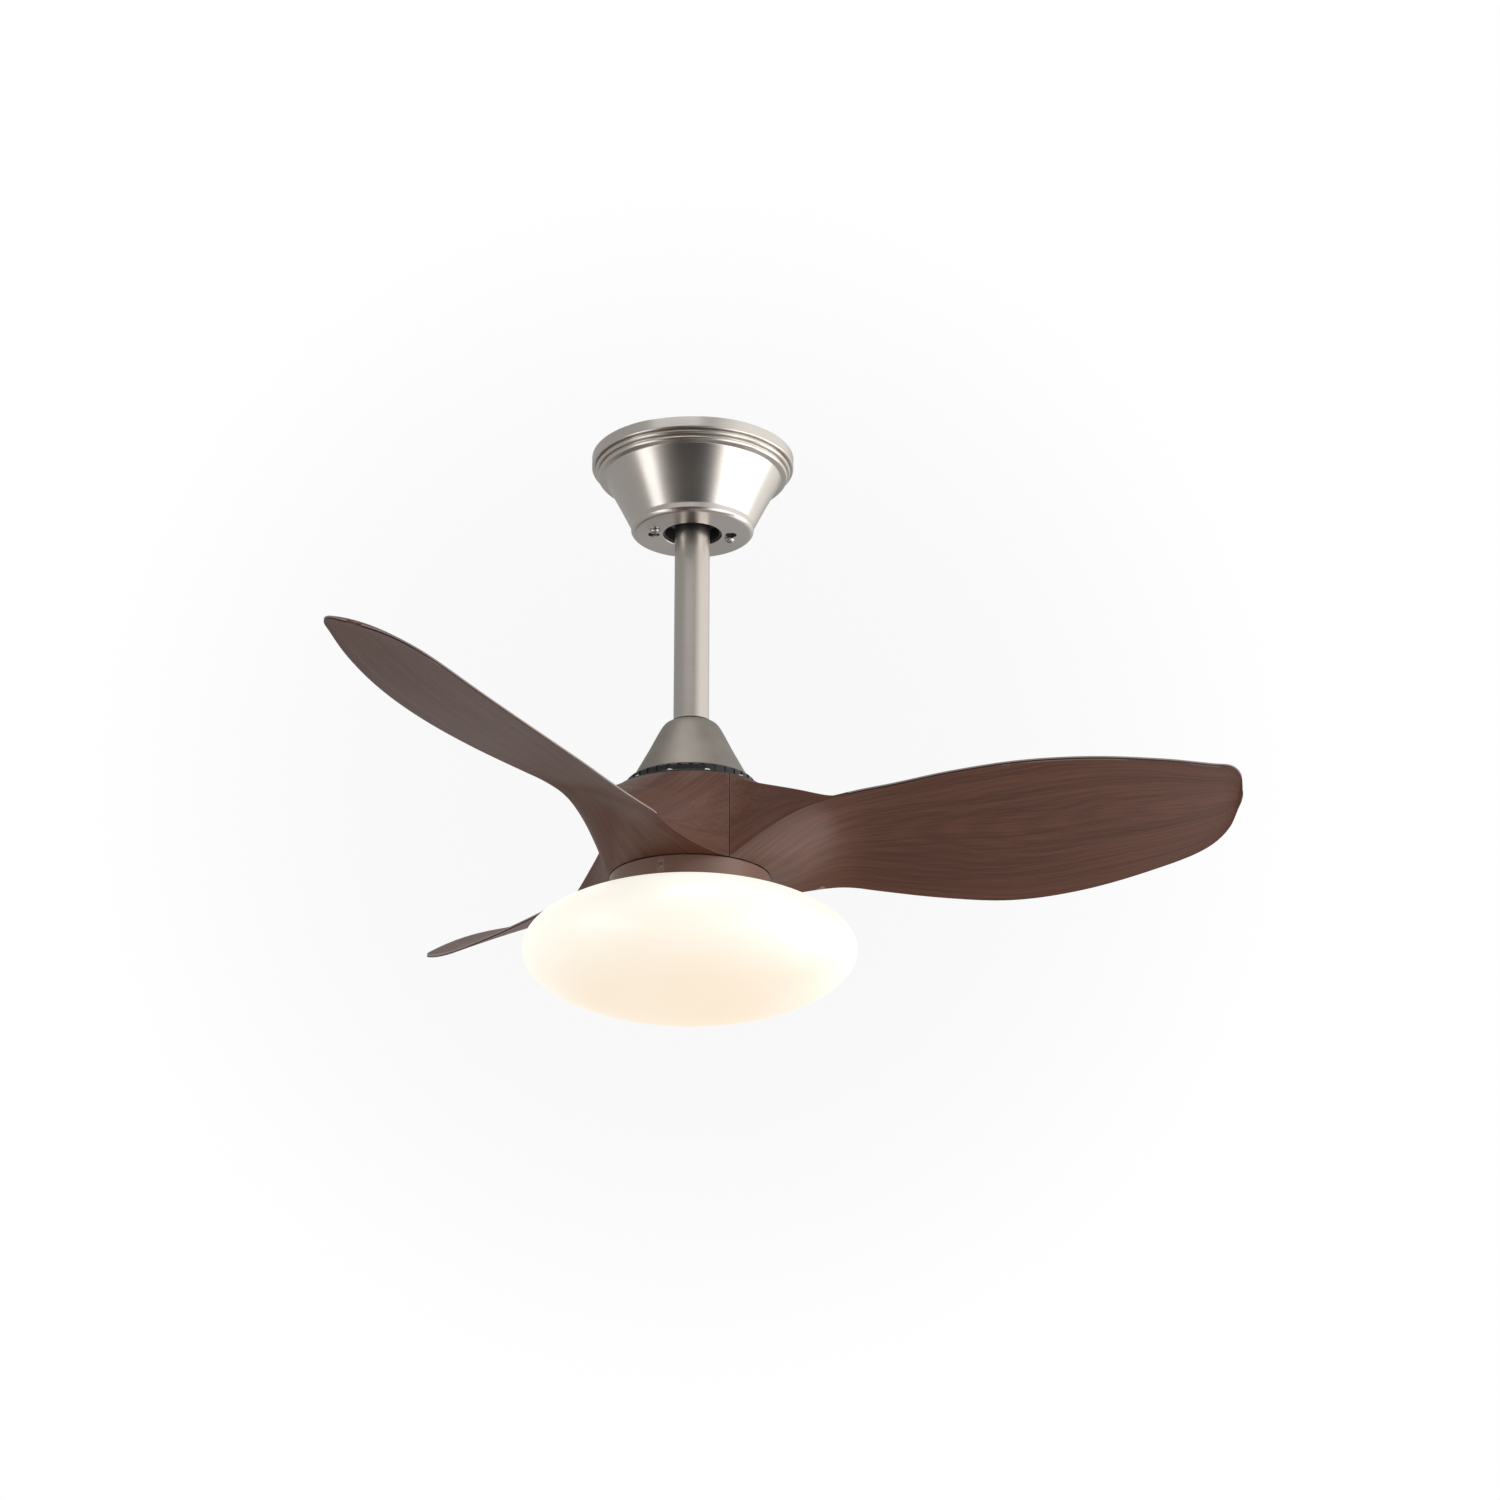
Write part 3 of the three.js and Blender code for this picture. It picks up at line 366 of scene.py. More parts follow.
class Finish:
    """One procedural material: a Principled shader and short calls that add nodes to it."""

    def __init__(self, name, color, roughness, metallic=0.0, **sockets):
        self.material = bpy.data.materials.new(name)
        self.material.use_nodes = True
        self.tree = self.material.node_tree
        self.shader = self.tree.nodes["Principled BSDF"]
        self.shader.inputs["Base Color"].default_value = (*color, 1)
        self.shader.inputs["Roughness"].default_value = roughness
        self.shader.inputs["Metallic"].default_value = metallic
        for socket, value in sockets.items():
            self.shader.inputs[socket.replace("_", " ")].default_value = value

    def add(self, kind, settings=(), **inputs):
        """A new shader node: settings are its properties, inputs are values or links."""
        node = self.tree.nodes.new("ShaderNode" + kind)
        for name, value in dict(settings).items():
            setattr(node, name, value)
        for name, value in inputs.items():
            self.feed(node.inputs[name.replace("_", " ")], value)
        return node

    def feed(self, socket, value):
        if isinstance(value, bpy.types.NodeSocket):
            self.tree.links.new(value, socket)
        else:
            socket.default_value = value

    def math(self, operation, a, b=0.0):
        node = self.add("Math", {"operation": operation})
        self.feed(node.inputs[0], a)
        self.feed(node.inputs[1], b)
        return node.outputs[0]

    def plus(self, a, b):
        return self.math("ADD", a, b)

    def times(self, a, b):
        return self.math("MULTIPLY", a, b)

    def length(self, a, b):
        """Length of the flat vector [a, b]."""
        return self.math("SQRT", self.plus(self.math("POWER", a, 2.0), self.math("POWER", b, 2.0)))

    def split(self, vector):
        node = self.add("SeparateXYZ")
        self.feed(node.inputs[0], vector)
        return node.outputs

    def join(self, x, y, z):
        return self.add("CombineXYZ", X=x, Y=y, Z=z).outputs[0]

    def object_place(self):
        return self.add("TexCoord").outputs["Object"]

    def stretch(self, vector, scale):
        """The vector with each axis scaled, so that a pattern is drawn out along an axis."""
        node = self.add("VectorMath", {"operation": "MULTIPLY"})
        self.feed(node.inputs[0], vector)
        node.inputs[1].default_value = scale
        return node.outputs[0]

    def noise(self, vector, scale, detail=4.0, roughness=0.55, distortion=0.0):
        node = self.add(
            "TexNoise", Vector=vector, Scale=scale, Detail=detail,
            Roughness=roughness, Distortion=distortion,
        )
        return node.outputs["Fac"]

    def span(self, value, low, high, to_low=0.0, to_high=1.0):
        """value from the range low..high mapped smoothly to to_low..to_high."""
        node = self.add("MapRange", {"interpolation_type": "SMOOTHSTEP"})
        for name, given in zip(
            ("Value", "From Min", "From Max", "To Min", "To Max"),
            (value, low, high, to_low, to_high),
        ):
            self.feed(node.inputs[name], given)
        return node.outputs["Result"]

    def blend(self, share, first, second):
        """From the first color to the second as share goes from 0 to 1."""
        node = self.add("Mix", {"data_type": "RGBA"})
        for index, value in ((0, share), (6, first), (7, second)):
            if isinstance(value, tuple) and len(value) == 3:
                value = (*value, 1)
            self.feed(node.inputs[index], value)
        return node.outputs[2]

    def color(self, value):
        self.feed(self.shader.inputs["Base Color"], value)

    def roughness(self, value):
        self.feed(self.shader.inputs["Roughness"], value)

    def bump(self, height, distance):
        node = self.add("Bump", Height=height, Distance=distance, Strength=1.0)
        self.feed(self.shader.inputs["Normal"], node.outputs["Normal"])

    def edge_wear_and_highlight(self, color, worn_and_lit, amount):
        """Lightens convex edges by the surface's pointiness: partly rubbed wear, partly a painted edge
        highlight.
        """
        point = self.add("NewGeometry").outputs["Pointiness"]
        share = self.span(point, 0.51, 0.58, 0.0, amount)
        return self.blend(share, color, worn_and_lit)


def turned_lines(finish, fine):
    """Noise drawn out around the Z axis, as turning and brushing leave it."""
    x, y, z = finish.split(finish.object_place())
    level = finish.times(finish.plus(z, finish.length(x, y)), fine)
    return finish.noise(finish.join(finish.times(x, 14.0), finish.times(y, 14.0), level), 1.0, 5.0, 0.7)


def brushed_nickel(name, color, roughness, line_depth, anisotropy):
    """Nickel plate brushed round the Z axis, so that its highlights stretch up and down."""
    finish = Finish(name, color, roughness, 1.0, Anisotropic=anisotropy, Anisotropic_Rotation=0.25)
    lines = turned_lines(finish, 2600.0)
    cloud = finish.noise(finish.object_place(), 22.0, 3.0)
    dark = tuple(c * 0.95 for c in color)
    light = tuple(min(1.0, c * 1.04) for c in color)
    tint = finish.blend(finish.span(lines, 0.3, 0.7), dark, light)
    tint = finish.blend(finish.span(cloud, 0.35, 0.7, 0.0, 0.35), tint, dark)
    # Convex edges painted lighter: a painted edge highlight on the nickel, with some wear.
    finish.color(finish.edge_wear_and_highlight(tint, light, 0.6))
    uneven = finish.plus(
        finish.span(lines, 0.25, 0.75, -0.02, 0.025), finish.span(cloud, 0.3, 0.7, -0.015, 0.02)
    )
    finish.roughness(finish.plus(uneven, roughness))
    finish.bump(lines, line_depth)
    tangent = finish.add("Tangent", {"direction_type": "RADIAL", "axis": "Z"})
    finish.feed(finish.shader.inputs["Tangent"], tangent.outputs[0])
    return finish.material


def satin_coat():
    """Fine spray-plated nickel coat of the coupling cover: nearly matte, faint mottling."""
    finish = Finish("satin_nickel_coat", (0.20, 0.183, 0.162), 0.5, 0.7)
    grain = finish.noise(finish.object_place(), 1500.0, 2.0, 0.6)
    cloud = finish.noise(finish.object_place(), 35.0, 3.0)
    tint = finish.blend(finish.span(cloud, 0.3, 0.7), (0.20, 0.183, 0.16), (0.25, 0.228, 0.20))
    tint = finish.blend(finish.span(grain, 0.35, 0.75, 0.0, 0.25), tint, (0.27, 0.25, 0.225))
    # Convex edges painted lighter: a painted edge highlight, with some wear.
    finish.color(finish.edge_wear_and_highlight(tint, (0.4, 0.375, 0.345), 0.5))
    finish.roughness(finish.span(grain, 0.2, 0.8, 0.44, 0.58))
    finish.bump(grain, 0.00003)
    return finish.material


def plated(name, color, roughness, spangle=60.0):
    """Zinc plating or plain steel: soft crystals, fine scratches, brighter edges."""
    finish = Finish(name, color, roughness, 1.0)
    where = finish.object_place()
    crystals = finish.add("TexVoronoi", Vector=where, Scale=spangle * 4).outputs["Color"]
    flake = finish.add("RGBToBW", Color=crystals).outputs[0]
    scratch = finish.noise(finish.stretch(where, (900.0, 60.0, 300.0)), 1.0, 4.0, 0.7)
    dark, light = tuple(c * 0.72 for c in color), tuple(min(1.0, c * 1.15) for c in color)
    tint = finish.blend(finish.span(flake, 0.1, 0.9, 0.2, 0.7), dark, light)
    # Convex edges painted brighter: a painted edge highlight, with some wear.
    finish.color(finish.edge_wear_and_highlight(tint, light, 0.7))
    finish.roughness(finish.plus(finish.span(scratch, 0.3, 0.7, -0.08, 0.1), roughness))
    finish.bump(scratch, 0.00002)
    return finish.material


def coated(name, color, light, roughness, grain_scale, grain_depth, metallic=0.0):
    """Powder coat or moulded plastic: orange-peel or spark texture and paler edges, rubbed and with a
    painted edge highlight.
    """
    finish = Finish(name, color, roughness, metallic)
    where = finish.object_place()
    grain = finish.noise(where, grain_scale, 3.0, 0.6)
    cloud = finish.noise(where, 28.0, 3.0)
    tint = finish.blend(finish.span(cloud, 0.3, 0.75, 0.0, 0.5), color, light)
    # Convex edges painted paler: rubbed wear and a painted edge highlight.
    finish.color(finish.edge_wear_and_highlight(tint, tuple(min(1.0, c * 2.2 + 0.02) for c in light), 0.45))
    finish.roughness(finish.plus(finish.span(grain, 0.25, 0.75, -0.07, 0.09), roughness))
    finish.bump(grain, grain_depth)
    return finish.material


def walnut_film():
    """Dark walnut grain along the blade: growth rings, fibres, pores, a satin top coat."""
    finish = Finish("walnut_film", (0.075, 0.03, 0.02), 0.42, 0.0, Specular_IOR_Level=0.28)
    grain_place = finish.add("Attribute", {"attribute_name": "grain"}).outputs["Vector"]
    along, across, layer = finish.split(grain_place)
    drift = finish.noise(finish.stretch(grain_place, (4.5, 9.0, 3.0)), 1.0, 2.0)
    ripple = finish.noise(finish.stretch(grain_place, (22.0, 60.0, 9.0)), 1.0, 3.0)
    wander = finish.plus(
        finish.span(drift, 0.2, 0.8, -0.006, 0.006), finish.span(ripple, 0.2, 0.8, -0.0012, 0.0012)
    )
    bent = finish.plus(across, wander)
    # Rings: long ellipses round a heart beyond the tip, which shows as a cathedral figure.
    heart = finish.times(finish.math("SUBTRACT", along, 0.47), 0.11)
    ring = finish.length(heart, finish.plus(bent, 0.004))
    wave = finish.math("SINE", finish.times(ring, 1500.0))
    fibre_place = finish.join(finish.times(along, 10.0), finish.times(bent, 900.0), layer)
    fibre = finish.noise(fibre_place, 1.0, 5.0, 0.65, 0.2)
    broad = finish.noise(finish.stretch(fibre_place, (0.35, 0.11, 1.0)), 1.0, 3.0)
    pore_place = finish.join(finish.times(along, 95.0), finish.times(bent, 1900.0), layer)
    pore = finish.span(finish.noise(pore_place, 1.0, 2.0, 0.5), 0.61, 0.74)
    bands = finish.plus(
        finish.times(finish.span(fibre, 0.25, 0.75), 0.56),
        finish.times(finish.span(broad, 0.25, 0.75), 0.32),
    )
    figure = finish.plus(finish.times(finish.span(wave, -1.0, 1.0), 0.12), bands)
    tint = finish.blend(finish.span(figure, 0.1, 0.95), (0.062, 0.0225, 0.0125), (0.116, 0.045, 0.027))
    tint = finish.blend(finish.times(pore, 0.35), tint, (0.024, 0.010, 0.007))
    # Convex edges painted pale pinkish grey: a painted sheen along the rounded edges.
    tint = finish.edge_wear_and_highlight(tint, (0.26, 0.19, 0.165), 0.55)
    # The film is cut at the rim: a thin black line, then a paler strip of bare plastic.
    rim = finish.add("Attribute", {"attribute_name": "rim"}).outputs["Fac"]
    tint = finish.blend(finish.span(rim, 0.55, 0.8, 0.0, 0.9), tint, (0.014, 0.010, 0.009))
    tint = finish.blend(finish.span(rim, 1.2, 1.6, 0.0, 0.9), tint, (0.30, 0.235, 0.21))
    finish.color(tint)
    finish.roughness(finish.plus(finish.span(fibre, 0.2, 0.8, 0.41, 0.37), finish.times(pore, 0.15)))
    height = finish.math("SUBTRACT", finish.times(fibre, 0.5), finish.times(pore, 0.8))
    finish.bump(height, 0.000012)
    return finish.material


def opal_lit():
    """Satin opal acrylic lit from inside; its glow is painted, white above and a dimmer warm cream towards
    the underside and the outer rim.
    """
    finish = Finish(
        "opal_lit", (0.2, 0.195, 0.185), 0.34, 0.0,
        Coat_Weight=0.1, Coat_Roughness=0.1, Emission_Strength=1.0,
    )
    where = finish.object_place()
    x, y, z = finish.split(where)
    low = (SHADE_CENTRE_Z - SHADE_HALF_HEIGHT) * MM
    high = (SHADE_CENTRE_Z + SHADE_HALF_HEIGHT) * MM
    cloud = finish.noise(where, 9.0, 2.0)
    height = finish.plus(z, finish.span(cloud, 0.3, 0.7, -0.004, 0.004))
    # Painted glow fall-off: dimmer, warmer cream towards the underside.
    painted_underside_falloff = finish.span(height, low - 0.012, low + 0.54 * (high - low), 1.0, 0.0)
    glow = finish.blend(painted_underside_falloff, (0.90, 0.875, 0.80), (0.75, 0.60, 0.43))
    # Painted shade: the glow dims towards the outer rim.
    rim = finish.span(finish.length(x, y), 0.095, 0.126, 0.0, 0.22)
    glow = finish.blend(rim, glow, (0.88, 0.78, 0.62))
    finish.feed(finish.shader.inputs["Emission Color"], glow)
    grain = finish.noise(where, 900.0, 2.0)
    patch = finish.span(cloud, 0.3, 0.7, 0.0, 0.3)
    finish.color(finish.blend(patch, (0.20, 0.195, 0.185), (0.18, 0.172, 0.16)))
    finish.roughness(finish.span(grain, 0.2, 0.8, 0.3, 0.38))
    finish.bump(grain, 0.000008)
    return finish.material


def wound_copper():
    """Enamelled wire laid round the core."""
    finish = Finish("enamelled_copper", (0.42, 0.16, 0.06), 0.3, 0.85, Coat_Weight=0.4)
    line = finish.add(
        "TexWave", {"wave_type": "RINGS", "rings_direction": "Z"},
        Vector=finish.object_place(), Scale=420.0, Distortion=2.5,
    ).outputs["Fac"]
    finish.color(finish.blend(line, (0.23, 0.075, 0.03), (0.62, 0.27, 0.11)))
    finish.roughness(finish.span(line, 0.0, 1.0, 0.42, 0.26))
    finish.bump(line, 0.0003)
    return finish.material


def stacked_sheets():
    """The edges of the core's stacked steel sheets, a little rusty."""
    finish = Finish("stacked_sheets", (0.3, 0.31, 0.33), 0.42, 0.9)
    where = finish.object_place()
    sheets = finish.add(
        "TexWave", {"wave_type": "BANDS", "bands_direction": "Z"}, Vector=where, Scale=314.0, Distortion=0.1
    ).outputs["Fac"]
    stain = finish.noise(where, 120.0, 4.0)
    tint = finish.blend(sheets, (0.13, 0.13, 0.14), (0.42, 0.43, 0.45))
    finish.color(finish.blend(finish.span(stain, 0.55, 0.75, 0.0, 0.4), tint, (0.22, 0.15, 0.1)))
    finish.roughness(finish.span(stain, 0.3, 0.7, 0.34, 0.56))
    finish.bump(sheets, 0.00015)
    return finish.material


def woven_sleeve():
    """Two crossed sets of dark threads."""
    finish = Finish("woven_sleeve", (0.02, 0.02, 0.02), 0.75, 0.0, Sheen_Weight=0.3)
    where = finish.object_place()
    diagonal = {"wave_type": "BANDS", "bands_direction": "DIAGONAL"}
    first = finish.add("TexWave", diagonal, Vector=where, Scale=300.0).outputs["Fac"]
    mirrored = finish.stretch(where, (-1.0, 1.0, 1.0))
    second = finish.add("TexWave", diagonal, Vector=mirrored, Scale=300.0).outputs["Fac"]
    weave = finish.times(first, second)
    finish.color(finish.blend(weave, (0.012, 0.012, 0.012), (0.06, 0.06, 0.058)))
    finish.bump(weave, 0.0002)
    return finish.material


FINISH = {
    "canopy": brushed_nickel("brushed_nickel", (0.60, 0.565, 0.525), 0.3, 0.000004, 0.6),
    "rod": brushed_nickel("satin_nickel", (0.53, 0.495, 0.455), 0.32, 0.000006, 0.3),
    "cover": satin_coat(),
    "bracket": coated("black_coat", (0.012, 0.012, 0.013), (0.03, 0.03, 0.031), 0.42, 700.0, 0.00004),
    "zinc": plated("bright_zinc", (0.60, 0.60, 0.61), 0.3),
    "steel": plated("ground_steel", (0.44, 0.445, 0.45), 0.34, 90.0),
    "brass_screw": plated("plain_brass", (0.66, 0.46, 0.2), 0.3),
    "motor_case": coated(
        "motor_black", (0.005, 0.0047, 0.0043), (0.009, 0.0085, 0.008), 0.3, 900.0, 0.00003
    ),
    "blade": walnut_film(),
    "pan": coated("brown_gloss", (0.19, 0.110, 0.084), (0.205, 0.122, 0.095), 0.24, 4000.0, 0.000002),
    "shade": opal_lit(),
    "white_plastic": coated("ivory_plastic", (0.70, 0.68, 0.62), (0.78, 0.76, 0.71), 0.5, 1200.0, 0.00003),
    "black_plastic": coated(
        "black_plastic", (0.015, 0.015, 0.016), (0.035, 0.035, 0.036), 0.5, 1100.0, 0.00005
    ),
    "sleeve": woven_sleeve(),
    "winding": wound_copper(),
    "lamination": stacked_sheets(),
    "magnet": coated("sintered_magnet", (0.06, 0.06, 0.065), (0.12, 0.12, 0.125), 0.5, 1400.0, 0.00008, 0.6),
    "board": coated("white_mask", (0.80, 0.80, 0.77), (0.88, 0.88, 0.86), 0.35, 800.0, 0.00001),
}


def finish_cad_nodes():
    """Gives every carried-over CAD node the finish of its slot in the record."""
    slots = {row["node"]: row["material_slot"] for row in frame["record"]["subparts"]}
    for name, node in frame["nodes"].items():
        node.data.materials.clear()
        node.data.materials.append(FINISH[slots[name]])


# ---------------------------------------------------------------- ceiling end


def canopy_outline():
    """Canopy profile: flat plate, rounded corner, flared bell, two beads and a rolled rim."""
    edge = CANOPY_RADIUS
    floor = -CANOPY_HEIGHT
    corner = CANOPY_CORNER
    flare = catmull([
        (CANOPY_PLATE_RADIUS + 3.2, floor + corner + 2), (edge - 24.6, -45.5), (edge - 19.8, -36),
        (edge - 15, -27), (edge - 10, -17.8),
    ], np.linspace(0, 1, 31))
    bell = [
        (CANOPY_HOLE_RADIUS, floor), *arc(CANOPY_PLATE_RADIUS - 1, floor + corner, corner, -90, -25, 10),
        *[tuple(p) for p in flare],
    ]
    both_sides = shell(bell, CANOPY_WALL)
    beads = [
        (edge - 5.6, -17.2), (edge - 4.6, -16), (edge - 4.7, -14.9), (edge - 6.3, -14.3),
        (edge - 6, -13.4), (edge - 3.6, -13.2), (edge - 2.4, -12.1), (edge - 2.5, -11.1),
        (edge - 4.2, -10.5), (edge - 3.8, -9.7), (edge - 0.8, -9.9), (edge, -9.2), (edge, -0.6),
    ]
    inside = [(edge - 1.2, -0.6), (edge - 1.2, -8.4), (edge - 7.8, -9.4), (edge - 11.2, -16.4)]
    return [*both_sides[:len(bell)], *beads, *inside, *both_sides[len(bell):]]


def build_canopy():
    made = lathe("canopy", rounded(canopy_outline(), 0.6), 192)
    cutters = []
    for side in (0, math.pi):
        for share, radius in [(0, KEYHOLE_WIDE)] + [(s, KEYHOLE_NARROW) for s in np.linspace(0.3, 1, 8)]:
            x, y = polar(KEYHOLE_CIRCLE, side + KEYHOLE_TURN * share)
            cutters.append(place(rod_cutter(radius, -CANOPY_HEIGHT - 2, -CANOPY_HEIGHT + 3), x, y))
    cut(made, cutters)
    piece(made, "ceiling_mount", "canopy", "canopy_shell")


def pan_screw(name, head_radius, head_height, shank_radius, shank_length):
    """Domed cross-recess screw, head below its seat at z = 0 and shank above it."""
    skirt = head_height * 0.28
    dome = [(r * head_radius, z * (head_height - skirt) - skirt) for r, z in arc(0, 0, 1, -90, 0, 8)]
    dome[0] = (0, dome[0][1])
    outline = [*dome, (head_radius, 0), (shank_radius, 0), (shank_radius, shank_length), (0, shank_length)]
    made = lathe(name, outline, 40)
    bar = (head_radius * 1.15, head_radius * 0.26, head_height * 1.1)
    recess = [block("cutter", bar, (0, 0, -head_height), 0.3 + turn) for turn in (0, math.pi / 2)]
    return cut(made, recess, SCREW_SHARP_DEG)


def build_canopy_screws():
    for i, side in enumerate((0, math.pi)):
        x, y = polar(KEYHOLE_CIRCLE, side + KEYHOLE_TURN)
        made = pan_screw(
            f"canopy_screw_head_{i + 1}", CANOPY_SCREW_HEAD, CANOPY_SCREW_HEIGHT, *CANOPY_SCREW_SHANK
        )
        place(made, x, y, -CANOPY_HEIGHT - SMALL_GAP)
        piece(made, "ceiling_mount", "zinc", f"canopy_screw_{i + 1}")


# ---------------------------------------------------------------- hanger


def build_ball():
    bore = ROD_RADIUS + SMALL_GAP
    outline = [
        (bore, BALL_CENTRE_Z - BALL_HALF_HEIGHT), *arc(0, BALL_CENTRE_Z, BALL_RADIUS, -57, 57, 40),
        (bore, BALL_CENTRE_Z + BALL_HALF_HEIGHT),
    ]
    made = lathe("ball", rounded(outline, 0.8), 96)
    piece(made, "hanger", "black_plastic", "hanger_ball")


def build_rod():
    outline = [
        (ROD_BORE_RADIUS, ROD_BOTTOM_Z), (ROD_RADIUS, ROD_BOTTOM_Z), (ROD_RADIUS, ROD_TOP_Z),
        (ROD_BORE_RADIUS, ROD_TOP_Z),
    ]
    made = lathe("rod", rounded(outline, 0.5), 128)
    cutters = [place(rod_cutter(PIN_HOLE_RADIUS, -30, 30), z=z, turn=ALONG_X) for z in PIN_HEIGHTS]
    cut(made, cutters)
    piece(made, "hanger", "rod", "downrod")


def build_cover():
    """Coupling cover: a small lip round the rod, a round shoulder and a straight flare."""
    line = catmull([
        (31.4, COVER_TOP_Z - 22.5), (24.4, COVER_TOP_Z - 8.6), (21.6, COVER_TOP_Z - 3.8),
        (19.2, COVER_TOP_Z - 1.2), (COVER_TOP_RADIUS, COVER_TOP_Z),
    ], np.linspace(0, 1, 37))
    outer = [
        (COVER_BOTTOM_RADIUS, COVER_BOTTOM_Z), (COVER_BOTTOM_RADIUS - 0.4, COVER_BOTTOM_Z + 1.4),
        *[tuple(p) for p in line],
    ]
    made = lathe("cover", rounded(shell(outer, COVER_WALL), 0.5), 160)
    piece(made, "sliding_cover", "cover", "coupling_cover")
    bore = ROD_RADIUS + SMALL_GAP
    low = COVER_TOP_Z + 0.2
    high = low + COVER_RING_HEIGHT
    ring = [(bore, low), (COVER_TOP_RADIUS, low), (COVER_TOP_RADIUS, high), (bore, high)]
    made = lathe("cover_ring", rounded(ring, 0.5), 128)
    piece(made, "sliding_cover", "black_plastic")


# ---------------------------------------------------------------- motor


def build_motor_case():
    """Black top cover: boss with a ribbed rim, flange, drum wall and bearing collar."""
    flange_under = HUB_TOP_Z + SMALL_GAP
    flange_top = flange_under + FLANGE_SHEET
    lid_under = BOSS_TOP_Z - MOTOR_LID
    collar = BEARING_POCKET + BEARING_POCKET_WALL
    lip_top = DRUM_BOTTOM_Z + DRUM_LIP_HEIGHT
    outline = [
        (MOTOR_LID_HOLE, BOSS_TOP_Z), (BOSS_RADIUS - 1.5, BOSS_TOP_Z), (BOSS_RADIUS, BOSS_TOP_Z - 1.5),
        (BOSS_RADIUS, flange_top), (FLANGE_RADIUS, flange_top), (FLANGE_RADIUS, flange_under),
        (DRUM_RADIUS, flange_under), (DRUM_RADIUS, DRUM_BOTTOM_Z), (DRUM_LIP_RADIUS, DRUM_BOTTOM_Z),
        (DRUM_LIP_RADIUS, lip_top), (DRUM_INNER_RADIUS, lip_top),
        (DRUM_INNER_RADIUS, lid_under), (collar, lid_under),
        (collar, lid_under - BEARING_POCKET_DEPTH), (BEARING_POCKET, lid_under - BEARING_POCKET_DEPTH),
        (BEARING_POCKET, lid_under), (MOTOR_LID_HOLE, lid_under),
    ]
    made = lathe("motor_case", rounded(outline, 0.6), 144)
    height = BOSS_TOP_Z - 1.6 - flange_top
    groove = (2 * RIB_GROOVE_DEPTH, RIB_GROOVE_WIDTH, height)
    centre = (BOSS_RADIUS, 0, flange_top + height / 2 + 0.4)
    cut(made, [block("cutter", groove, centre, turn) for turn in turns(0, RIB_COUNT)], CASE_SHARP_DEG)
    piece(made, "rotor", "motor_case", "motor_top_cover")


def build_blade_screws():
    seat = HUB_TOP_Z + 2 * SMALL_GAP + FLANGE_SHEET
    upside_down = Matrix.Rotation(math.pi, 3, "X")
    for i, blade_turn in enumerate(turns(ROTOR_REST, BLADE_COUNT)):
        for j, offset in enumerate(BLADE_SCREW_DEG):
            x, y = polar(BLADE_SCREW_CIRCLE, blade_turn + math.radians(offset))
            made = pan_screw(
                f"blade_{i + 1}_fixing_{j + 1}", BLADE_SCREW_HEAD, BLADE_SCREW_HEIGHT, *BLADE_SCREW_SHANK
            )
            place(made, x, y, seat, upside_down)
            piece(made, "rotor", "zinc", f"blade_{i + 1}_screw_{j + 1}")


# ---------------------------------------------------------------- blades

ROOT_HALF = math.radians(180 / BLADE_COUNT - SEAM_HALF_DEG)
SEAM_X, SEAM_Y = polar(HUB_RADIUS, ROOT_HALF)

# Plan outline, [along the blade, across it], from the hub's seams to the tip. The leading
# edge is the high one. The second number is measured from the blade's middle line.
LEADING_EDGE = [
    (SEAM_X, -SEAM_Y), (53, -49), (78, -47), (105, -46.7), (140, -54), (190, -66.5), (240, -72.5),
    (292, -69), (345, -56), (383, -41.5), (398, -35), (405.5, -25), (408.6, -8),
]
TRAILING_EDGE = [
    (SEAM_X, SEAM_Y), (54, 47.5), (79, 44), (106, 43.5), (141, 49.5), (191, 58.5), (241, 65),
    (292, 62.5), (345, 53), (380, 44), (393, 36.5), (402, 25), (407.6, 4),
]
WALL_FADE = ((76, 1.35), (76, 1))  # how far the hub's wall runs out along each edge, and its power

# How far along the blade, in millimetres, each change of its shape starts and how far it runs
SHAPE_START = 30
ROOT_RUN = 100
LEAN_RUN = 90
BULGE_RUN = 110
PITCH_RUN = 75
CAMBER_START = 60
CAMBER_RUN = 80
LIFT_START = 130
LIFT_RUN = 276
LIFT_POWER = 2.2

SPAN_STEPS = 170
CHORD_STEPS = 44
WALL_LEVELS = (0.06, 0.1, 0.46, 0.54, 0.7, 0.85)
FILM_LINE = (0.08, 0.5)  # shares of the rim's thickness between which the film is black
ROUNDING = 0.9
FILM_LINE_START = 112  # how far along the blade the film's cut edge begins to show
FILM_LINE_RUN = 6
HUB_RINGS = 4  # rings of the mesh in the seam between two hub walls
TIP_ROUND_DEG = (30, 60, 85)
GRAIN_HALF_WIDTH = 62  # the film's half width before it is drawn over the blade


def ease(x):
    return np.sin(np.pi / 2 * np.clip(x, 0, 1))


def fade(x):
    x = np.clip(x, 0, 1)
    return 1 - x * x * (3 - 2 * x)


def middle_line(along):
    root = (BLADE_LEVEL_Z - HUB_BOTTOM_Z) * (1 - ease((along - SHAPE_START) / ROOT_RUN))
    lift = np.clip((along - LIFT_START) / LIFT_RUN, 0, 1) ** LIFT_POWER
    return BLADE_LEVEL_Z - root + BLADE_TIP_LIFT * lift


def wall_height(along, reach, power):
    left = np.clip(1 - (along - SHAPE_START) / reach, 0, 1)
    return BLADE_EDGE + (HUB_TOP_Z - HUB_BOTTOM_Z - BLADE_EDGE) * left**power


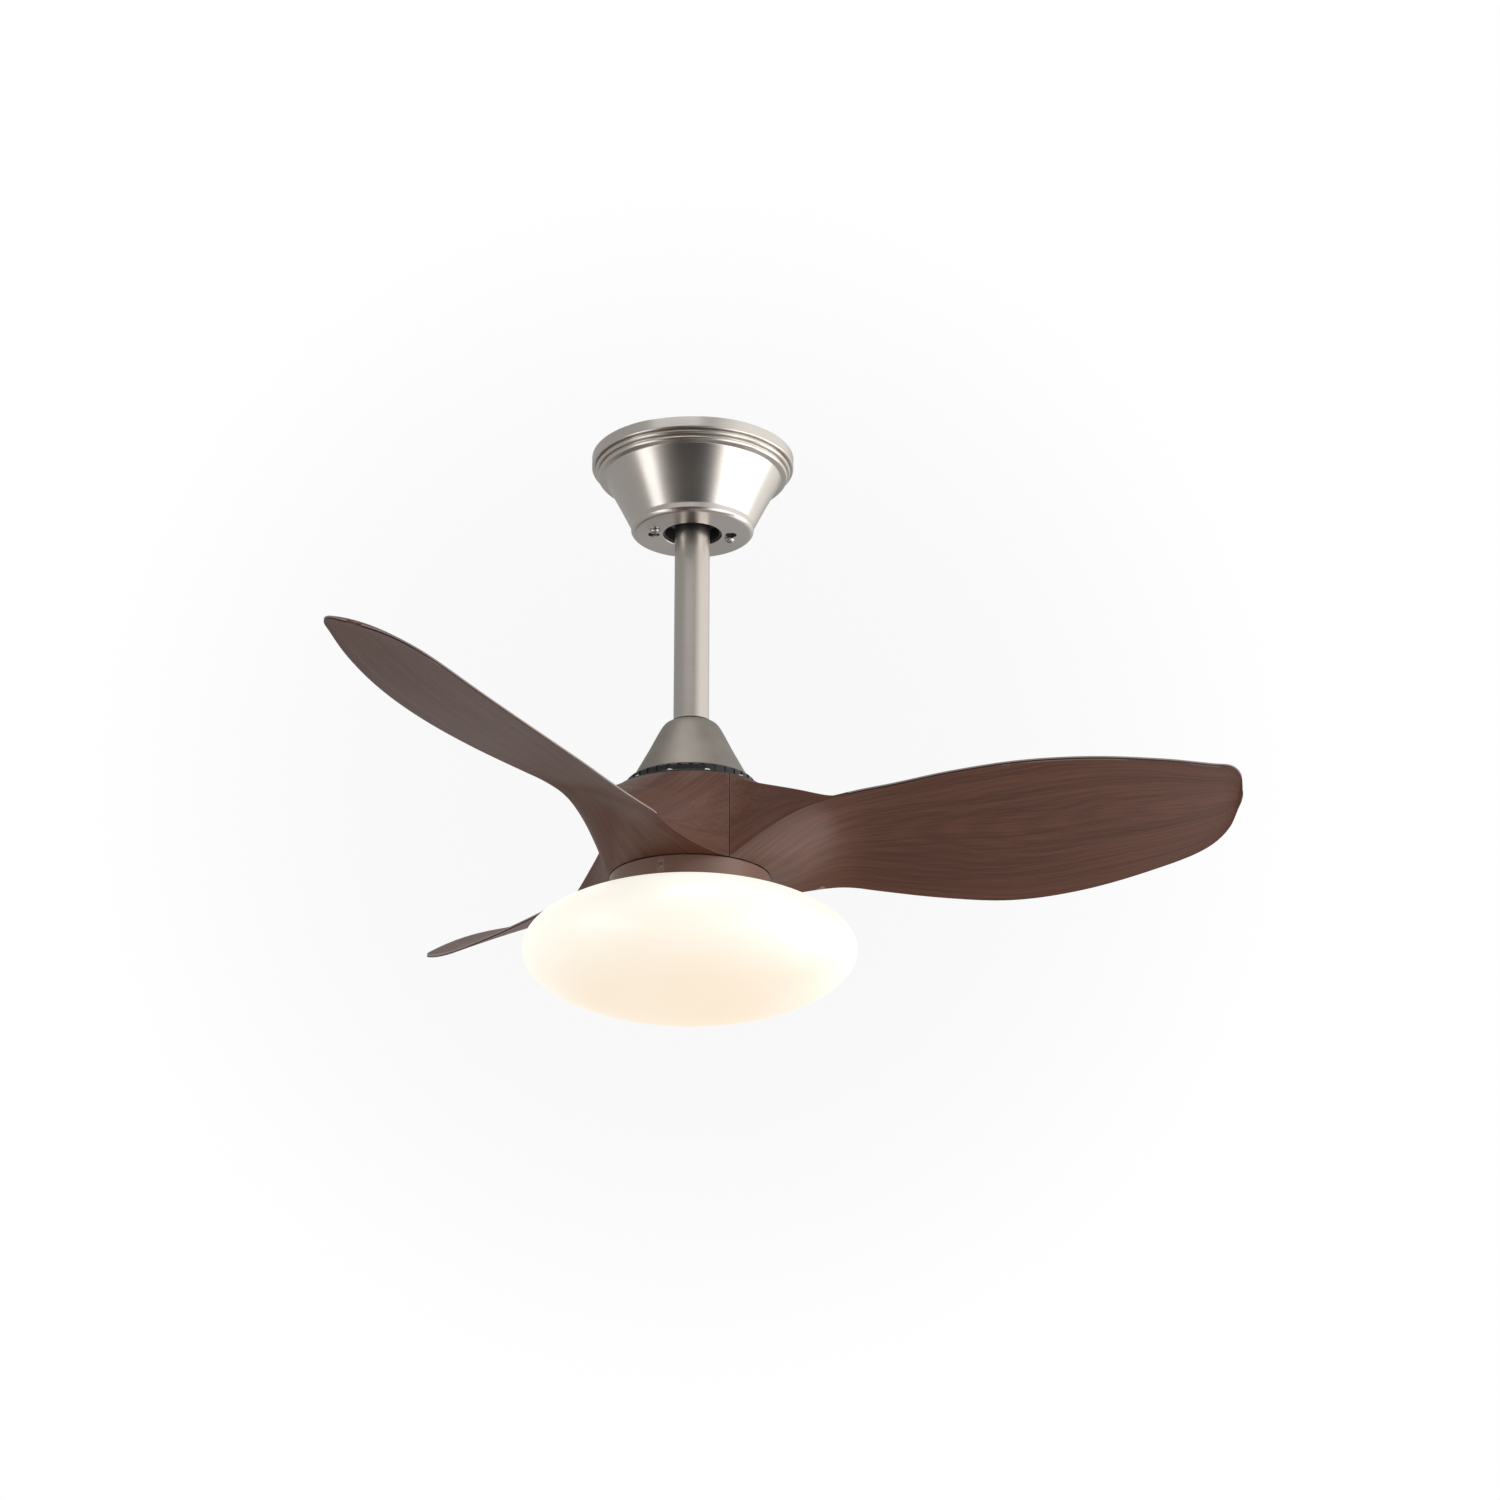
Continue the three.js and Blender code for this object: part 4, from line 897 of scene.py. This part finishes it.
def blade_point(station, side, level):
    """Points of the blade, arrays of one length. station: 0 at the hub's wall to 1 at the
    tip, or -1 to 0 inside the hub; side: -1 leading to 1 trailing; level: 0 under to 1 top."""
    full = HUB_TOP_Z - HUB_BOTTOM_Z
    share = np.maximum(station, 0)
    edges = [catmull(points, share) for points in (LEADING_EDGE, TRAILING_EDGE)]
    heights = [wall_height(edge[:, 0], *fall) for edge, fall in zip(edges, WALL_FADE)]
    walls = []
    for edge, height in zip(edges, heights):
        out = fade((edge[:, 0] - SHAPE_START) / LEAN_RUN)
        lean = 0.5 * height * (1 - height / full) * level * out
        walls.append(edge * (1 - lean / np.linalg.norm(edge, axis=1))[:, None])
    mix = (side + 1) / 2
    between = walls[0] + (walls[1] - walls[0]) * mix[:, None]
    bulge = fade((between[:, 0] - SHAPE_START) / BULGE_RUN)
    arc_along = HUB_RADIUS * (np.cos(ROOT_HALF * side) - math.cos(ROOT_HALF))
    arc_across = HUB_RADIUS * (np.sin(ROOT_HALF * side) - math.sin(ROOT_HALF) * side)
    mean = edges[0] + (edges[1] - edges[0]) * mix[:, None]
    thickness = heights[0] + (heights[1] - heights[0]) * mix
    chord = np.linalg.norm(edges[1] - edges[0], axis=1)
    rise = ease((between[:, 0] - CAMBER_START) / CAMBER_RUN)
    crown = BLADE_CAMBER * (1 - side**2) * rise * ease(chord / CAMBER_CHORD) ** 2
    pitch = BLADE_PITCH * ease((mean[:, 0] - SHAPE_START) / PITCH_RUN)
    under = middle_line(mean[:, 0]) - pitch * mean[:, 1]
    inward = 1 + np.minimum(station, 0) * (1 - HUB_BORE_RADIUS / HUB_RADIUS)
    return np.stack([
        (between[:, 0] + arc_along * bulge) * inward,
        (between[:, 1] + arc_across * bulge) * inward,
        under + level * thickness + crown * (0.6 + 0.7 * level),
    ], axis=1)


def blade_section():
    """(side, level) of each point round the blade's section, underside first."""
    sides = np.sin(np.linspace(-np.pi / 2, np.pi / 2, CHORD_STEPS + 1)) * 0.35
    sides += np.linspace(-1, 1, CHORD_STEPS + 1) * 0.65
    sides[1], sides[-2] = -0.985, 0.985
    points = [(s, 0.0) for s in sides]
    points += [(1.0, level) for level in WALL_LEVELS]
    points += [(s, 1.0) for s in sides[::-1]]
    points += [(-1.0, level) for level in WALL_LEVELS[::-1]]
    return points


def rounded_rings(rings, corners):
    """Rings of points with the same corners rounded in each, and where each point came from."""
    columns, origin = [], []
    count = rings.shape[1]
    for j in range(count):
        here = rings[:, j]
        if j not in corners:
            columns.append(here)
            origin.append(j)
            continue
        back, ahead = rings[:, j - 1] - here, rings[:, (j + 1) % count] - here
        lengths = [np.linalg.norm(v, axis=1)[:, None] for v in (back, ahead)]
        reach = np.minimum(ROUNDING, 0.8 * np.minimum(*lengths))
        first, last = here + back / lengths[0] * reach, here + ahead / lengths[1] * reach
        for t in np.linspace(0, 1, ROUNDING_STEPS + 1):
            columns.append((1 - t) ** 2 * first + 2 * t * (1 - t) * here + t**2 * last)
            origin.append(j)
    return np.stack(columns, axis=1), origin


def blade_mesh(name, layer):
    """One blade with rounded edges and a film line in its rim, in the blade's own frame."""
    section = blade_section()
    side, level = np.array(section).T
    even = np.linspace(0, 1, SPAN_STEPS + 1)
    stations = np.concatenate([[-1, -0.5, -0.02], even - 0.09 * np.sin(2 * np.pi * even)])
    rings = np.stack([blade_point(np.full(len(side), s), side, level) for s in stations])
    top = CHORD_STEPS + 1 + len(WALL_LEVELS)
    corners = {0, CHORD_STEPS, top, top + CHORD_STEPS}
    rings, origin = rounded_rings(rings, corners)
    side, level = side[origin], level[origin]
    tip = rings[-1]
    for angle in np.radians(TIP_ROUND_DEG):
        shrink = ROUNDING * (1 - math.cos(angle))
        move = np.stack([
            ROUNDING * math.sin(angle) * np.sqrt(1 - side**2), -side * shrink, (1 - 2 * level) * shrink,
        ], axis=1)
        rings = np.concatenate([rings, (tip + move)[None]])
    count = len(side)
    rows = len(rings)
    faces = []
    for i in range(rows - 1):
        for j in range(count):
            k = (j + 1) % count
            faces.append((i * count + j, i * count + k, (i + 1) * count + k, (i + 1) * count + j))
    middle_of_wall = len(WALL_LEVELS) // 2
    for first in (0, (rows - 1) * count):
        for j in range(count // 2 - 1):
            around_cap = (j, j + 1, count - 2 - j, count - 1 - j)
            faces.append([first + (c - middle_of_wall) % count for c in around_cap])
    made = make_object(name, rings.reshape(-1, 3), faces, BLADE_SHARP_DEG, weld=0)
    mark_grain(made.data, rings, side, level, layer)
    return made


def mark_grain(mesh, rings, side, level, layer):
    """Stores the film's own coordinates and how far round the rim each vertex is."""
    rows = len(rings)
    at_edge = np.abs(side) == 1
    heights = [wall_height(rings[:, :, 0], *fall) for fall in WALL_FADE]
    height = np.where(side < 0, heights[0], heights[1])
    across = side * (GRAIN_HALF_WIDTH + at_edge * level * height)
    layers = np.broadcast_to(layer + level * 7.0, (rows, len(side)))
    film = np.stack([rings[:, :, 0] * MM, across * MM, layers], axis=2)
    past_line = np.where(level > FILM_LINE[1], 2.0, np.where(level > FILM_LINE[0], 1.0, 0.0))
    rim = at_edge * past_line * np.clip((rings[:, :, 0] - FILM_LINE_START) / FILM_LINE_RUN, 0, 1)
    rim[:HUB_RINGS, at_edge] = 1
    for name, kind, field, values in (
        ("grain", "FLOAT_VECTOR", "vector", film), ("rim", "FLOAT", "value", rim)
    ):
        stored = mesh.attributes.new(name, kind, "POINT")
        stored.data.foreach_set(field, np.ascontiguousarray(values, np.float32).ravel())


def build_blades():
    for i, turn in enumerate(turns(ROTOR_REST, BLADE_COUNT)):
        made = blade_mesh(f"blade_body_{i + 1}", 3.1 * i)
        made.data.transform(Matrix.Rotation(turn, 4, "Z"))
        piece(made, "rotor", "blade", f"blade_{i + 1}")


# ---------------------------------------------------------------- light kit


def build_pan():
    outline = [
        (SHAFT_HOLE_RADIUS, PAN_TOP_Z), (PAN_RADIUS - PAN_LAND - 1, PAN_TOP_Z),
        (PAN_RADIUS - PAN_LAND, PAN_TOP_Z + PAN_LAND_HEIGHT),
        (PAN_RADIUS - 0.4, PAN_TOP_Z + PAN_LAND_HEIGHT),
        (PAN_RADIUS, PAN_TOP_Z), (PAN_RADIUS, PAN_BOTTOM_Z), (PAN_INNER_RADIUS, PAN_BOTTOM_Z),
        (PAN_INNER_RADIUS, PAN_TOP_Z - PAN_SHEET), (SHAFT_HOLE_RADIUS, PAN_TOP_Z - PAN_SHEET),
    ]
    made = lathe("pan", rounded(outline, 0.6), 160)
    holes = []
    for turn in turns(PAN_SCREW_TURN, PAN_SCREW_COUNT):
        hole = rod_cutter(PAN_SCREW_HOLE, 50, 65)
        holes.append(place(hole, z=PAN_SCREW_Z, turn=Matrix.Rotation(turn, 3, "Z") @ ALONG_X))
    cut(made, holes)
    hooks = [block("hook", HOOK_SIZE, HOOK_CENTRE, turn) for turn in turns(HOOK_TURN, HOOK_COUNT)]
    combine(made, hooks, "UNION")
    piece(made, "hanger", "pan", "light_pan")


def build_pan_screws():
    """Headless socket screws in the pan's side wall."""
    outline = [
        (0, PAN_SCREW_START), (PAN_SCREW_RADIUS, PAN_SCREW_START),
        (PAN_SCREW_RADIUS, PAN_SCREW_END), (0, PAN_SCREW_END),
    ]
    for i, turn in enumerate(turns(PAN_SCREW_TURN, PAN_SCREW_COUNT)):
        made = lathe(f"pan_set_screw_{i + 1}", rounded(outline, 0.3), 32)
        socket = rod_cutter(PAN_SCREW_SOCKET, PAN_SCREW_END - PAN_SCREW_SOCKET_DEPTH, PAN_SCREW_END + 2, 6)
        cut(made, [socket], SCREW_SHARP_DEG)
        place(made, z=PAN_SCREW_Z, turn=Matrix.Rotation(turn, 3, "Z") @ ALONG_X)
        piece(made, "hanger", "steel", f"pan_screw_{i + 1}")


def build_shade():
    """Opal shade: a flattened ball, open at the top where its collar grips it."""
    def line(radius, half, start, end):
        angles = np.linspace(start, end, 65)
        return [(radius * math.cos(a), SHADE_CENTRE_Z + half * math.sin(a)) for a in angles]

    inner_radius = SHADE_RADIUS - SHADE_WALL
    outer = line(
        SHADE_RADIUS, SHADE_HALF_HEIGHT,
        -math.pi / 2, math.acos(SHADE_MOUTH_RADIUS / SHADE_RADIUS),
    )
    inner = line(
        inner_radius, SHADE_HALF_HEIGHT - SHADE_WALL,
        math.acos(SHADE_MOUTH_RADIUS / inner_radius), -math.pi / 2,
    )
    outer[0] = (0, outer[0][1])
    inner[-1] = (0, inner[-1][1])
    made = lathe("opal_shade", rounded([*outer, *inner], 0.8), 192)
    piece(made, "lamp_shade", "shade", "shade")


# ---------------------------------------------------------------- studio


def make_camera():
    """Below and in front of the fan, looking up at it."""
    camera = bpy.data.objects.new("camera", bpy.data.cameras.new("camera"))
    bpy.context.scene.collection.objects.link(camera)
    camera.data.lens = CAMERA_LENS
    camera.data.sensor_width = 36
    camera.data.clip_end = 200
    camera.location = CAMERA_PLACE
    yaw, pitch = math.radians(CAMERA_YAW_DEG), math.radians(CAMERA_PITCH_DEG)
    ahead = Vector((math.sin(yaw) * math.cos(pitch), math.cos(yaw) * math.cos(pitch), math.sin(pitch)))
    camera.rotation_mode = "QUATERNION"
    camera.rotation_quaternion = ahead.to_track_quat("-Z", "Y")
    bpy.context.scene.camera = camera


def make_floor():
    """A wide pale floor far below the fan, for the camera only."""
    signs = ((-1, -1), (1, -1), (1, 1), (-1, 1))
    corners = [(x * FLOOR_HALF, y * FLOOR_HALF, FLOOR_Z) for x, y in signs]
    made = make_object("floor", corners, [(0, 1, 2, 3)])
    paint = Finish(
        "pale_floor", (0.86, 0.86, 0.86), 0.8, Emission_Color=(1, 1, 1, 1), Emission_Strength=0.42
    )
    made.data.materials.append(paint.material)
    made.visible_glossy = False
    made.visible_diffuse = False


def soft_box(name, position, size, power):
    """A rectangular lamp that faces the fan and that the camera doesn't see."""
    lamp = bpy.data.lights.new(name, "AREA")
    lamp.shape = "RECTANGLE"
    lamp.size, lamp.size_y = size
    lamp.energy = power
    holder = bpy.data.objects.new(name, lamp)
    bpy.context.scene.collection.objects.link(holder)
    holder.location = position
    aim = Vector(STUDIO_CENTRE) - Vector(position)
    holder.rotation_mode = "QUATERNION"
    holder.rotation_quaternion = aim.to_track_quat("-Z", "Y")
    holder.visible_camera = False


def around(azimuth_deg, elevation_deg, distance):
    """A place round the fan: azimuth from the front, positive to the right, in degrees."""
    a, e = math.radians(azimuth_deg), math.radians(elevation_deg)
    return (
        distance * math.sin(a) * math.cos(e), -distance * math.cos(a) * math.cos(e),
        distance * math.sin(e) + STUDIO_CENTRE[2],
    )


def make_world():
    """White backdrop for the camera, and for light a grey room that is darker in front."""
    world = bpy.data.worlds.new("studio")
    bpy.context.scene.world = world
    world.use_nodes = True
    tree = world.node_tree
    tree.nodes.clear()

    def add(kind, **settings):
        node = tree.nodes.new("ShaderNode" + kind)
        for name, value in settings.items():
            setattr(node, name, value)
        return node

    def toward(axis):
        """How nearly the direction follows an axis: 1 where it points along it."""
        node = add("VectorMath", operation="DOT_PRODUCT")
        tree.links.new(direction, node.inputs[0])
        node.inputs[1].default_value = Vector(axis).normalized()
        return node.outputs["Value"]

    def span(value, low, high, to_low, to_high):
        node = add("MapRange", interpolation_type="SMOOTHSTEP")
        tree.links.new(value, node.inputs["Value"])
        node.inputs["From Min"].default_value = low
        node.inputs["From Max"].default_value = high
        node.inputs["To Min"].default_value = to_low
        node.inputs["To Max"].default_value = to_high
        return node.outputs["Result"]

    direction = add("TexCoord").outputs["Generated"]
    side = add("SeparateXYZ")
    tree.links.new(direction, side.inputs[0])
    level = add("Math", operation="MULTIPLY")
    tree.links.new(span(toward((0.0, -1.0, -0.75)), 0.70, 0.97, 0.55, 0.06), level.inputs[0])
    tree.links.new(span(side.outputs["X"], 0.15, 0.85, 0.85, 2.25), level.inputs[1])
    room = add("Background")
    room.inputs["Color"].default_value = (1.0, 0.985, 0.97, 1)
    tree.links.new(level.outputs[0], room.inputs["Strength"])
    backdrop = add("Background")
    backdrop.inputs["Color"].default_value = (1, 1, 1, 1)
    # The wall is a little greyer behind the fan, as a soft shadow leaves it.
    shadow = span(toward((0.0, 2.35, 0.83)), 0.982, 0.9995, 1.0, 0.94)
    tree.links.new(shadow, backdrop.inputs["Strength"])
    seen = add("LightPath").outputs["Is Camera Ray"]
    choose = add("MixShader")
    tree.links.new(seen, choose.inputs[0])
    tree.links.new(room.outputs[0], choose.inputs[1])
    tree.links.new(backdrop.outputs[0], choose.inputs[2])
    output = add("OutputWorld")
    tree.links.new(choose.outputs[0], output.inputs["Surface"])


def make_studio():
    make_world()
    make_floor()
    soft_box("soft_right", around(82, -30, 2.6), (3.9, 3.0), 62)
    soft_box("soft_left", around(-66, -34, 2.6), (1.0, 2.8), 17)
    soft_box("soft_top", around(-20, 62, 2.4), (2.0, 2.0), 30)
    bpy.context.scene.view_settings.view_transform = "Standard"


# ---------------------------------------------------------------- all of it

finish_cad_nodes()
build_canopy()
build_canopy_screws()
build_ball()
build_rod()
build_cover()
build_motor_case()
build_blade_screws()
build_blades()
build_pan()
build_pan_screws()
build_shade()
make_camera()
make_studio()
